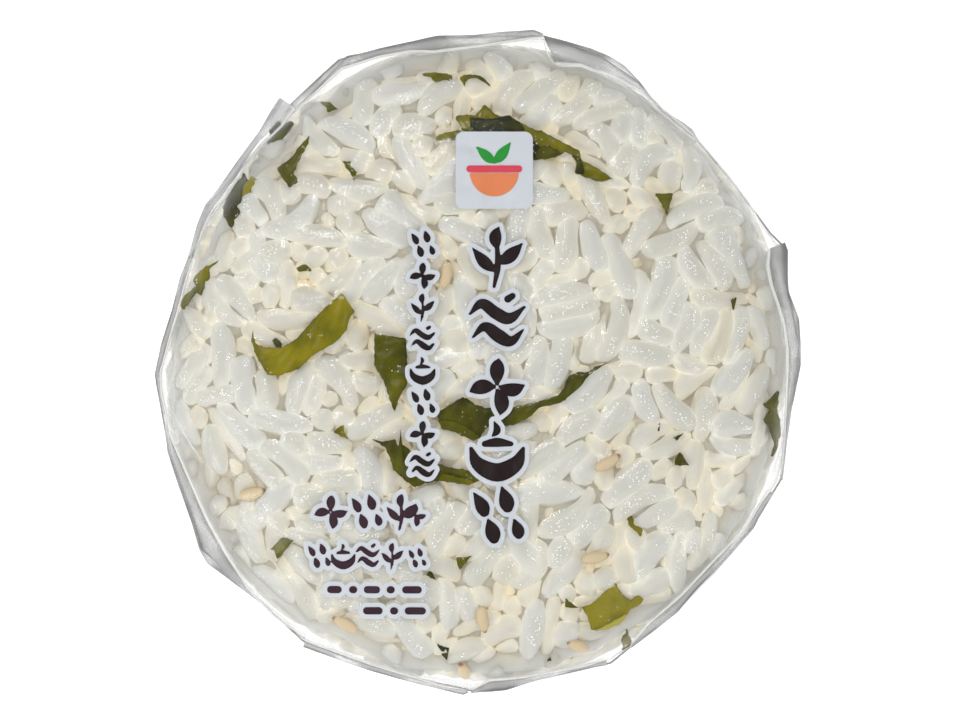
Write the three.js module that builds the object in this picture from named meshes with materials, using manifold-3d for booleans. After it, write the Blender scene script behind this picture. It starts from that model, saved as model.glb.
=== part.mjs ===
// A round rice ball with seaweed and sesame, wrapped tight in clear film.
// Millimetres, +Z up, the shown face upwards, the origin in the middle of the flat foot.
// The ball is one solid out to the film: a core with film folds round its side, and the rice grains and
// sesame seeds that press against the film on top. Each strip of seaweed is a thin wavy solid of its own.

import * as THREE from 'three';
import { mergeVertices } from 'three/addons/utils/BufferGeometryUtils.js';
import Module from 'manifold-3d';

const wasm = await Module();
wasm.setup();

// Driving dimensions of the ball
const THICKNESS = 30;
const WAIST_HEIGHT = 13.5;
const SHOULDER_POWER = 4;
const FOOT_POWER = 3;
const FOOT_DEPTH = 15.2;
const PLEAT_DEPTH = 0.45;
const GRAIN_RELIEF = 1.35;

// Corners of the film's folded outline, seen from above: degrees from +X, and distance from the middle
const FILM_CORNERS = [
  [3, 40.0], [14, 39.6], [20, 41.0], [24, 39.8], [36, 38.8], [46, 38.9], [54, 38.8], [60, 40.2],
  [68, 41.0], [79, 41.5], [97, 40.6], [107, 40.6], [113, 41.4], [126, 38.6], [149, 38.8], [159, 38.2],
  [171, 38.2], [183, 40.0], [196, 39.8], [205, 39.8], [214, 41.3], [227, 40.0], [238, 40.8], [253, 40.0],
  [269, 40.75], [280, 40.0], [294, 40.8], [309, 39.3], [318, 39.2], [330, 39.8], [339, 40.4], [346, 39.3],
  [354, 39.2],
];

// The rolled edge of the film, which lies along the upper left of the shoulder
const ROLL = { startAngle: 127, endAngle: 149, reach: 39.9, height: 21.5, width: 2.8, depth: 1.6 };

// Rice grains: whole size, how evenly they vary, and how many lie against the film on top
const GRAIN = { length: 7.2, width: 3.1, height: 2.7, bend: 0.35, spread: 0.14, count: 236 };
const LOWEST_GRAIN_FALL = 68;
const SHOULDER_SINK = 0.6;
const GRAIN_CLEARANCE = 0.3;
const GRAIN_OVERLAP = 0.8;
const RICE_SEED = 41;

// Sesame seeds: size, then the place and turn of each
const SEED = { length: 3.4, width: 1.9, height: 1.2 };
const SEED_PLACES = [
  [0.6, -31.6, 98], [12.5, -35.1, 140], [14.5, -23.9, 10], [-16.4, -32.3, 150],
  [-1.7, -38.4, 95], [-3.8, 10.9, 80], [16.0, -12.2, 30], [-27.7, -16.1, 15],
];

// Seaweed: sheet thickness, gap to the rice under it, and how far its surface waves
const LEAF_THICKNESS = 0.45;
const LEAF_GAP = 0.4;
const LEAF_WAVE = 0.14;

// Each strip of seaweed follows a line of [x, y, width] across the top of the ball
const LEAVES = {
  wakame_top: [
    [-5.0, 27.4, 0.6], [-1.9, 28.5, 2.7], [1.6, 29.2, 5.0], [5.3, 27.9, 4.4],
    [9.0, 26.4, 3.2], [12.5, 24.7, 2.2], [16.4, 22.6, 0.5],
  ],
  wakame_left: [
    [-27.2, 3.1, 0.8], [-26.0, 0.4, 3.0], [-22.6, 0.9, 3.0], [-19.5, 3.3, 3.0], [-15.8, 7.4, 2.9],
  ],
  wakame_middle: [[-10.7, 3.2, 4.0], [-10.6, 0.4, 3.8], [-10.1, -2.7, 2.8], [-10.4, -5.8, 0.6]],
  wakame_middle_right: [
    [-4.9, -6.0, 1.0], [-1.6, -6.8, 3.8], [1.2, -7.9, 2.6], [4.7, -6.8, 1.8],
    [8.4, -4.8, 2.0], [11.7, -2.7, 1.7], [15.4, -0.1, 0.5],
  ],
  wakame_middle_low: [
    [-12.5, -9.7, 0.8], [-9.9, -11.5, 2.8], [-7.4, -13.6, 2.0], [-4.0, -13.8, 1.8],
    [0.1, -13.5, 1.3], [2.4, -14.5, 0.5],
  ],
  wakame_left_rim: [[-32.2, 12.7, 0.5], [-34.1, 10.5, 1.8], [-35.5, 8.7, 1.4], [-36.6, 7.2, 0.6]],
  wakame_upper_left_rim: [[-28.5, 23.0, 1.0], [-29.7, 20.8, 2.4], [-30.6, 19.0, 2.4], [-30.6, 17.0, 0.6]],
  wakame_upper_left: [[-20.9, 27.9, 0.5], [-22.4, 25.7, 1.2], [-23.4, 23.9, 2.3], [-22.8, 22.0, 1.3]],
  wakame_bottom_right: [
    [11.2, -29.4, 0.8], [14.0, -30.8, 3.6], [16.2, -30.0, 5.2], [18.4, -29.9, 2.6], [20.3, -29.4, 0.9],
  ],
  wakame_right_rim: [[37.0, -3.7, 0.8], [36.5, -5.8, 2.0], [36.9, -8.3, 1.5], [37.2, -11.3, 0.6]],
  wakame_bit_01: [[-19.1, 32.5, 0.9], [-17.4, 31.2, 1.1]],
  wakame_bit_02: [[-16.4, 24.8, 0.5], [-15.2, 23.4, 1.0], [-15.1, 22.0, 0.5]],
  wakame_bit_03: [[-22.3, 11.6, 0.9], [-20.3, 11.7, 1.0]],
  wakame_bit_04: [[-17.6, -9.1, 0.6], [-15.9, -8.4, 0.9]],
  wakame_bit_05: [[-6.9, 35.5, 0.9], [-3.2, 35.3, 0.8]],
  wakame_bit_06: [[-2.0, 35.4, 0.9], [1.3, 35.1, 1.1]],
  wakame_bit_07: [[-25.5, -22.8, 1.0], [-22.8, -22.4, 2.0]],
  wakame_bit_08: [[-2.7, -24.5, 1.2], [-0.8, -24.5, 1.5]],
  wakame_bit_09: [[21.8, 20.7, 1.8], [24.0, 19.4, 0.6]],
  wakame_bit_10: [[18.3, -18.8, 0.8], [20.2, -21.0, 0.8]],
  wakame_bit_11: [[18.2, -34.6, 0.8], [18.7, -33.2, 1.0]],
};

const RICE_COLOUR = new THREE.Color().setRGB(0.83, 0.83, 0.79, THREE.SRGBColorSpace);
const WAKAME_COLOUR = new THREE.Color().setRGB(0.35, 0.39, 0.08, THREE.SRGBColorSpace);

const TOP_DEPTH = THICKNESS - WAIST_HEIGHT;
const RIGHT_ANGLE = Math.PI / 2;
const GOLDEN_TURN = Math.PI * (3 - Math.sqrt(5));
const radians = THREE.MathUtils.degToRad;

// A repeatable random number source from 0 to 1
function seededRandom(seed) {
  let state = seed;
  return () => {
    state = (state + 0x6d2b79f5) | 0;
    let mixed = Math.imul(state ^ (state >>> 15), 1 | state);
    mixed = (mixed + Math.imul(mixed ^ (mixed >>> 7), 61 | mixed)) ^ mixed;
    return ((mixed ^ (mixed >>> 14)) >>> 0) / 4294967296;
  };
}

// Distance from the middle to the film's straight-edged outline, along an angle
function outlineRadius(angle) {
  const turn = THREE.MathUtils.euclideanModulo(THREE.MathUtils.radToDeg(angle), 360);
  const found = FILM_CORNERS.findIndex(([degrees]) => degrees > turn);
  const next = found === -1 ? 0 : found;
  const last = (next + FILM_CORNERS.length - 1) % FILM_CORNERS.length;
  const [start, end] = [last, next].map((index) => {
    const [degrees, radius] = FILM_CORNERS[index];
    return new THREE.Vector2(radius, 0).rotateAround(new THREE.Vector2(), radians(degrees));
  });
  const edge = end.clone().sub(start);
  const ray = new THREE.Vector2(Math.cos(angle), Math.sin(angle));
  return start.cross(end) / ray.cross(edge);
}

// The outline with its corners melted away, as the film lies higher up on the rice
function softRadius(angle) {
  const samples = 9;
  const halfSpread = radians(20);
  let sum = 0;
  for (let index = 0; index < samples; index += 1) {
    sum += outlineRadius(angle + halfSpread * ((2 * index) / (samples - 1) - 1));
  }
  return sum / samples;
}

// A point on the ball: fall is 0 in the middle of the top, a right angle at the waist, more below it.
// The section is a superellipse, and inset shrinks it under the grains, fading out at the waist.
function ballPoint(angle, fall, inset) {
  if (fall <= RIGHT_ANGLE) {
    const out = Math.sin(fall) ** (2 / SHOULDER_POWER);
    const up = Math.max(Math.cos(fall), 0) ** (2 / SHOULDER_POWER);
    const shrink = inset * THREE.MathUtils.smoothstep(up, 0, 0.5);
    const radius = THREE.MathUtils.lerp(outlineRadius(angle), softRadius(angle), up) - shrink;
    return new THREE.Vector3(
      radius * out * Math.cos(angle),
      radius * out * Math.sin(angle),
      WAIST_HEIGHT + (TOP_DEPTH - shrink) * up,
    );
  }
  const below = fall - RIGHT_ANGLE;
  const out = Math.cos(below) ** (2 / FOOT_POWER);
  const down = Math.sin(below) ** (2 / FOOT_POWER);
  const radius = THREE.MathUtils.lerp(outlineRadius(angle), softRadius(angle), down);
  return new THREE.Vector3(
    radius * out * Math.cos(angle),
    radius * out * Math.sin(angle),
    WAIST_HEIGHT - FOOT_DEPTH * down,
  );
}

// The outward normal of the ball at a point above the waist, from two short steps along its surface
function ballNormal(angle, fall, inset) {
  const step = 0.01;
  const from = Math.max(fall, 2 * step);
  const across = ballPoint(angle + step, from, inset).sub(ballPoint(angle - step, from, inset));
  const down = ballPoint(angle, from + step, inset).sub(ballPoint(angle, from - step, inset));
  return down.cross(across).normalize();
}

// The fall at which the ball is a given distance from its middle line, found by halving
function fallAt(angle, distance, inset) {
  let low = 0;
  let high = RIGHT_ANGLE;
  for (let round = 0; round < 30; round += 1) {
    const middle = (low + high) / 2;
    const point = ballPoint(angle, middle, inset);
    if (Math.hypot(point.x, point.y) < distance) low = middle;
    else high = middle;
  }
  return low;
}

// The place over a plan point, lifted off the ball's surface along its normal
function placeOver(x, y, inset, lift) {
  const angle = Math.atan2(y, x);
  const fall = fallAt(angle, Math.hypot(x, y), inset);
  const normal = ballNormal(angle, fall, inset);
  return { point: ballPoint(angle, fall, inset).addScaledVector(normal, lift), normal };
}

// Leaves a stock geometry with nothing but shared positions, so that its seams are closed
function closed(geometry) {
  geometry.deleteAttribute('normal');
  geometry.deleteAttribute('uv');
  return mergeVertices(geometry, 1e-4);
}

// Turns a closed geometry into a solid that can be joined with others
function solidFrom(geometry) {
  return new wasm.Manifold(new wasm.Mesh({
    numProp: 3,
    vertProperties: Float32Array.from(geometry.attributes.position.array),
    triVerts: Uint32Array.from(geometry.index.array),
  }));
}

// Joins many solids two by two, and keeps the one outer body without any sealed hollow
function fuse(solids) {
  let parts = solids;
  while (parts.length > 1) {
    const joined = [];
    for (let index = 0; index < parts.length; index += 2) {
      const partner = parts[index + 1];
      joined.push(partner ? parts[index].add(partner) : parts[index]);
    }
    parts = joined;
  }
  const bodies = parts[0].decompose();
  return bodies.reduce((largest, body) => (body.volume() > largest.volume() ? body : largest));
}

function geometryFrom(solid) {
  const mesh = solid.getMesh();
  const geometry = new THREE.BufferGeometry();
  geometry.setAttribute('position', new THREE.BufferAttribute(mesh.vertProperties, 3));
  geometry.setIndex(new THREE.BufferAttribute(mesh.triVerts, 1));
  geometry.computeVertexNormals();
  return geometry;
}

// The core of the ball: rings of points from the top middle to the flat foot, with a column at each
// film corner and one between, so that the side is made of flat folds that pleat in towards the foot
function coreGeometry() {
  const columns = FILM_CORNERS.flatMap(([degrees], index) => {
    const [following] = FILM_CORNERS[(index + 1) % FILM_CORNERS.length];
    const gap = THREE.MathUtils.euclideanModulo(following - degrees, 360);
    return [radians(degrees), radians(degrees + gap / 2)];
  });
  const topRings = 6;
  const lowerRings = 5;
  const footFall = Math.asin((WAIST_HEIGHT / FOOT_DEPTH) ** (FOOT_POWER / 2));
  const falls = [];
  for (let ring = 1; ring <= topRings; ring += 1) falls.push((ring / topRings) * RIGHT_ANGLE);
  for (let ring = 1; ring <= lowerRings; ring += 1) {
    falls.push(RIGHT_ANGLE + (ring / lowerRings) * footFall);
  }
  const points = [new THREE.Vector3(0, 0, THICKNESS - GRAIN_RELIEF)];
  falls.forEach((fall, ring) => {
    const lower = Math.max(ring + 1 - topRings, 0) / lowerRings;
    columns.forEach((angle, column) => {
      const pleat = PLEAT_DEPTH * Math.sin(lower * Math.PI * 0.8) * (column % 2 ? -1 : 0);
      const point = ballPoint(angle, fall, GRAIN_RELIEF);
      point.x += pleat * Math.cos(angle);
      point.y += pleat * Math.sin(angle);
      points.push(point);
    });
  });
  const lastRing = falls.length - 1;
  points.slice(1 + lastRing * columns.length).forEach((point) => {
    point.z = 0;
  });
  points.push(new THREE.Vector3(0, 0, 0));

  const indices = [];
  const at = (ring, column) => 1 + ring * columns.length + (column % columns.length);
  columns.forEach((angle, column) => {
    indices.push(0, at(0, column), at(0, column + 1));
    for (let ring = 0; ring < lastRing; ring += 1) {
      const [upper, lower] = [at(ring, column), at(ring + 1, column)];
      const [upperNext, lowerNext] = [at(ring, column + 1), at(ring + 1, column + 1)];
      indices.push(upper, lower, lowerNext, upper, lowerNext, upperNext);
    }
    indices.push(points.length - 1, at(lastRing, column + 1), at(lastRing, column));
  });
  const geometry = new THREE.BufferGeometry().setFromPoints(points);
  geometry.setIndex(indices);
  return geometry;
}

// A blunt, slightly bent grain along X, lying flat on Z
function grainGeometry(length, width, height, bend) {
  const geometry = closed(new THREE.SphereGeometry(1, 5, 3));
  geometry.rotateZ(-RIGHT_ANGLE);
  const position = geometry.attributes.position;
  for (let index = 0; index < position.count; index += 1) {
    const along = position.getX(index);
    const blunt = Math.abs(along) < 0.9 ? 1.15 : 1;
    position.setXYZ(
      index,
      (along * blunt * length) / 2,
      (position.getY(index) * blunt * width) / 2,
      (position.getZ(index) * blunt * height) / 2 - bend * along * along,
    );
  }
  return geometry;
}

// The direction in the surface whose plan heading is a turn from the ball's +X
function headingAlong(normal, turn) {
  const heading = new THREE.Vector3(Math.cos(turn), Math.sin(turn), 0);
  return heading.addScaledVector(normal, -heading.dot(normal)).normalize();
}

// Lays a geometry down at a point, its Z along the normal and its X along the heading
function layDown(geometry, point, normal, turn) {
  const along = headingAlong(normal, turn);
  const across = normal.clone().cross(along);
  const frame = new THREE.Matrix4().makeBasis(along, across, normal).setPosition(point);
  return geometry.applyMatrix4(frame);
}

// Stations along a strip of seaweed: plan point, side direction and width at each
function leafStations(line, spacing) {
  const path = new THREE.CatmullRomCurve3(line.map(([x, y]) => new THREE.Vector3(x, y, 0)));
  const steps = Math.max(3, Math.round(path.getLength() / spacing));
  const stations = [];
  for (let step = 0; step <= steps; step += 1) {
    const share = path.getUtoTmapping(step / steps);
    const place = share * (line.length - 1);
    const first = Math.min(Math.floor(place), line.length - 2);
    const width = THREE.MathUtils.lerp(line[first][2], line[first + 1][2], place - first);
    const point = path.getPoint(share);
    const tangent = path.getTangent(share);
    stations.push({ point, side: new THREE.Vector3(-tangent.y, tangent.x, 0), width });
  }
  return stations;
}

// True where a plan disc of a given radius keeps clear of every strip of seaweed
function clearOfLeaves(x, y, radius, strips) {
  return strips.every((stations) => stations.every(({ point, width }) => (
    Math.hypot(point.x - x, point.y - y) > radius + width / 2 + GRAIN_CLEARANCE
  )));
}

// A thin wavy sheet of seaweed over the core, both of its faces split into triangles alike
function leafGeometry(line, phase) {
  const stations = leafStations(line, 1.6);
  const across = Math.max(...line.map(([, , width]) => width)) > 1.5 ? 4 : 2;
  const sheets = [0, LEAF_THICKNESS].map((lift) => stations.flatMap(({ point, side, width }, step) => {
    const row = [];
    for (let index = 0; index <= across; index += 1) {
      const offset = (index / across - 0.5) * width;
      const wave = LEAF_WAVE * (1 + Math.sin(step * 1.1 + index * 1.7 + phase));
      const spot = point.clone().addScaledVector(side, offset);
      row.push(placeOver(spot.x, spot.y, GRAIN_RELIEF, LEAF_GAP + wave + lift).point);
    }
    return row;
  }));
  const perSheet = sheets[0].length;
  const indices = [];
  const quad = (a, b, c, d) => indices.push(a, b, c, a, c, d);
  const at = (step, index) => step * (across + 1) + index;
  const last = stations.length - 1;
  for (let step = 0; step < last; step += 1) {
    for (let index = 0; index < across; index += 1) {
      const corners = [at(step, index), at(step + 1, index), at(step + 1, index + 1), at(step, index + 1)];
      const [a, b, c, d] = corners;
      indices.push(a, c, b, a, d, c);
      const [e, f, g, h] = corners.map((corner) => corner + perSheet);
      indices.push(e, f, g, e, g, h);
    }
    quad(at(step, 0), at(step + 1, 0), at(step + 1, 0) + perSheet, at(step, 0) + perSheet);
    quad(
      at(step + 1, across),
      at(step, across),
      at(step, across) + perSheet,
      at(step + 1, across) + perSheet,
    );
  }
  for (let index = 0; index < across; index += 1) {
    quad(at(0, index + 1), at(0, index), at(0, index) + perSheet, at(0, index + 1) + perSheet);
    quad(at(last, index), at(last, index + 1), at(last, index + 1) + perSheet, at(last, index) + perSheet);
  }
  const geometry = new THREE.BufferGeometry().setFromPoints(sheets.flat());
  geometry.setIndex(indices);
  geometry.computeVertexNormals();
  return geometry;
}

// Falls that share the top out evenly by area, for the grains' rings of a sunflower pattern
function evenFalls(count) {
  const steps = 240;
  const lowest = radians(LOWEST_GRAIN_FALL);
  const sums = [0];
  for (let step = 1; step <= steps; step += 1) {
    const here = ballPoint(0, (step / steps) * lowest, 0);
    const before = ballPoint(0, ((step - 1) / steps) * lowest, 0);
    sums.push(sums[step - 1] + here.distanceTo(before) * (here.x + before.x));
  }
  return Array.from({ length: count }, (_, index) => {
    const wanted = ((index + 0.5) / count) * sums[steps];
    const step = sums.findIndex((sum) => sum >= wanted);
    return (step / steps) * lowest;
  });
}

// Five points along the middle line of a grain
function spineOf(centre, along, length, width) {
  const reach = (length - width) / 2;
  return [-1, -0.5, 0, 0.5, 1].map((share) => centre.clone().addScaledVector(along, share * reach));
}

// Whether a grain only touches its neighbours, and keeps clear of seaweed and sesame seen from above
function grainFits(spine, width, strips, neighbours) {
  return spine.every((point) => {
    const overSeed = SEED_PLACES.some(([x, y]) => Math.hypot(x - point.x, y - point.y) < width * 0.75);
    if (overSeed || !clearOfLeaves(point.x, point.y, width / 2, strips)) return false;
    return neighbours.every((other) => other.distanceTo(point) > width * GRAIN_OVERLAP);
  });
}

// Ways to fit a grain beside the seaweed, from the least change to the most: turned, moved and shortened
function fittingTrials(slant, length) {
  const lengths = [1, 0.8, 0.6].map((share) => share * length);
  const turns = [0, 0.35, -0.35, 0.8, -0.8, 1.5].map((turn) => slant + turn);
  const moves = [new THREE.Vector2()];
  const directions = 6;
  for (const reach of [1.3, 2.4]) {
    for (let index = 0; index < directions; index += 1) {
      const heading = (index / directions) * 2 * Math.PI;
      moves.push(new THREE.Vector2(reach * Math.cos(heading), reach * Math.sin(heading)));
    }
  }
  return lengths.flatMap((tried) => moves.flatMap((move) => (
    turns.map((turn) => ({ length: tried, turn, move }))
  )));
}

// The grains against the film. On the right half they mostly lie slanting, as the rice was pressed, and
// on the shoulder they sink a little further so that their ends stay under the film.
function riceGrains(strips) {
  const random = seededRandom(RICE_SEED);
  const vary = (size) => size * (1 + GRAIN.spread * (2 * random() - 1));
  const grains = [];
  const placed = [];
  evenFalls(GRAIN.count).forEach((fall, index) => {
    const angle = index * GOLDEN_TURN + 0.05 * (random() - 0.5);
    const spot = ballPoint(angle, fall, 0);
    const slant = spot.x > 5 ? radians(50) + (random() - 0.5) * 1.6 : random() * Math.PI;
    const [length, width, height] = [GRAIN.length, GRAIN.width, GRAIN.height].map(vary);
    const depth = height / 2 + SHOULDER_SINK * (fall / radians(LOWEST_GRAIN_FALL)) ** 4;
    const near = placed.filter((point) => point.distanceTo(spot) < 2 * GRAIN.length);
    for (const trial of fittingTrials(slant, length)) {
      const { point, normal } = placeOver(spot.x + trial.move.x, spot.y + trial.move.y, 0, -depth);
      const spine = spineOf(point, headingAlong(normal, trial.turn), trial.length, width);
      if (grainFits(spine, width, strips, near)) {
        const grain = grainGeometry(trial.length, width, height, GRAIN.bend);
        grains.push(layDown(grain, point, normal, trial.turn));
        placed.push(...spine);
        break;
      }
    }
  });
  return grains;
}

function sesameSeeds() {
  return SEED_PLACES.map(([x, y, turn]) => {
    const { point, normal } = placeOver(x, y, GRAIN_RELIEF, SEED.height * 0.3);
    return layDown(grainGeometry(SEED.length, SEED.width, SEED.height, 0), point, normal, radians(turn));
  });
}

// The film's rolled edge: a flattened six-sided roll along a chord of the shoulder
function filmRoll() {
  const [start, end] = [ROLL.startAngle, ROLL.endAngle].map((degrees) => new THREE.Vector3(
    ROLL.reach * Math.cos(radians(degrees)),
    ROLL.reach * Math.sin(radians(degrees)),
    ROLL.height,
  ));
  const middle = start.clone().add(end).divideScalar(2);
  const outward = new THREE.Vector3(middle.x, middle.y, 0).normalize();
  const normal = outward.clone().setZ(0.75).normalize();
  const along = end.clone().sub(start);
  const roll = closed(new THREE.CylinderGeometry(0.5, 0.5, along.length(), 6));
  roll.rotateZ(RIGHT_ANGLE);
  roll.scale(1, ROLL.width, ROLL.depth);
  return layDown(roll, middle, normal, Math.atan2(along.y, along.x));
}

function named(name, geometry, colour, roughness) {
  const material = new THREE.MeshStandardMaterial({ color: colour, roughness, metalness: 0 });
  const mesh = new THREE.Mesh(geometry, material);
  mesh.name = name;
  return mesh;
}

const strips = Object.values(LEAVES).map((line) => leafStations(line, 0.6));
const ballPieces = [coreGeometry(), filmRoll(), ...riceGrains(strips), ...sesameSeeds()];

const riceBall = new THREE.Group();
riceBall.add(named('wrapped_rice', geometryFrom(fuse(ballPieces.map(solidFrom))), RICE_COLOUR, 0.35));
Object.entries(LEAVES).forEach(([name, line], index) => {
  riceBall.add(named(name, leafGeometry(line, index * 1.3), WAKAME_COLOUR, 0.4));
});

export default riceBall;
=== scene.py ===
"""A round rice ball with seaweed and sesame, wrapped tight in clear film, and the studio round it.

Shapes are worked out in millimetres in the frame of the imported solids: +Z up, the shown face upwards,
the origin in the middle of the flat foot. They go to metres when a mesh is made.
"""

import math

import bpy
import numpy as np
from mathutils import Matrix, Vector


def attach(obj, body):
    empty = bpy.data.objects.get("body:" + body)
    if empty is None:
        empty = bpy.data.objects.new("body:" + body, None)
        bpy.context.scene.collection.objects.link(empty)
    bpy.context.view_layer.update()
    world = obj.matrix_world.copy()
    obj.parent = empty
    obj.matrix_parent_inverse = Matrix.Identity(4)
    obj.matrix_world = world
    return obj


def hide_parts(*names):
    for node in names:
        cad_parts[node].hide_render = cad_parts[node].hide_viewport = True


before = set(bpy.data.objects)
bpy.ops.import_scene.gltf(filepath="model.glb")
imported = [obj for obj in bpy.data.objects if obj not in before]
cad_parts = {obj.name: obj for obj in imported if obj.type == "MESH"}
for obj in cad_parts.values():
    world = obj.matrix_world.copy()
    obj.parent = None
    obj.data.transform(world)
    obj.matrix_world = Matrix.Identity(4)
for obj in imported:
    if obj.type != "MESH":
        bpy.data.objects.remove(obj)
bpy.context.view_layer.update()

MM = 0.001
TURN = 2 * math.pi

# Driving dimensions of the ball, in millimetres, as in the solids
THICKNESS = 30.0
WAIST_HEIGHT = 13.5
SHOULDER_POWER = 4.0
FOOT_POWER = 3.0
FOOT_DEPTH = 15.2
TOP_DEPTH = THICKNESS - WAIST_HEIGHT

# Corners of the film's folded outline, seen from above: degrees from +X, and distance from the middle
FILM_CORNERS = np.array([
    [3, 40.0], [14, 39.6], [20, 41.0], [24, 39.8], [36, 38.8], [46, 38.9], [54, 38.8], [60, 40.2],
    [68, 41.0], [79, 41.5], [97, 40.6], [107, 40.6], [113, 41.4], [126, 38.6], [149, 38.8], [159, 38.2],
    [171, 38.2], [183, 40.0], [196, 39.8], [205, 39.8], [214, 41.3], [227, 40.0], [238, 40.8], [253, 40.0],
    [269, 40.75], [280, 40.0], [294, 40.8], [309, 39.3], [318, 39.2], [330, 39.8], [339, 40.4], [346, 39.3],
    [354, 39.2],
])

# How far the rice stays inside the film's outline: degrees, and gap
RICE_GAPS = np.array([
    [0, 1.2], [30, 0.4], [60, 0.8], [85, 1.1], [110, 0.8], [135, 0.6], [160, 0.4], [180, 0.4],
    [205, 0.7], [225, 1.0], [240, 0.8], [260, 0.5], [280, 0.5], [300, 0.5], [330, 0.7], [360, 1.2],
])

# Rice: size of a whole grain, how many lie in the outer layers, and how far down those reach
GRAIN_LENGTH = 7.8
GRAIN_WIDTH = 3.2
GRAIN_COUNT = 1400
SHELL_DEPTH = 6.4
PRESSED_FLAT = 0.35
RICE_SEED = 7

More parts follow.
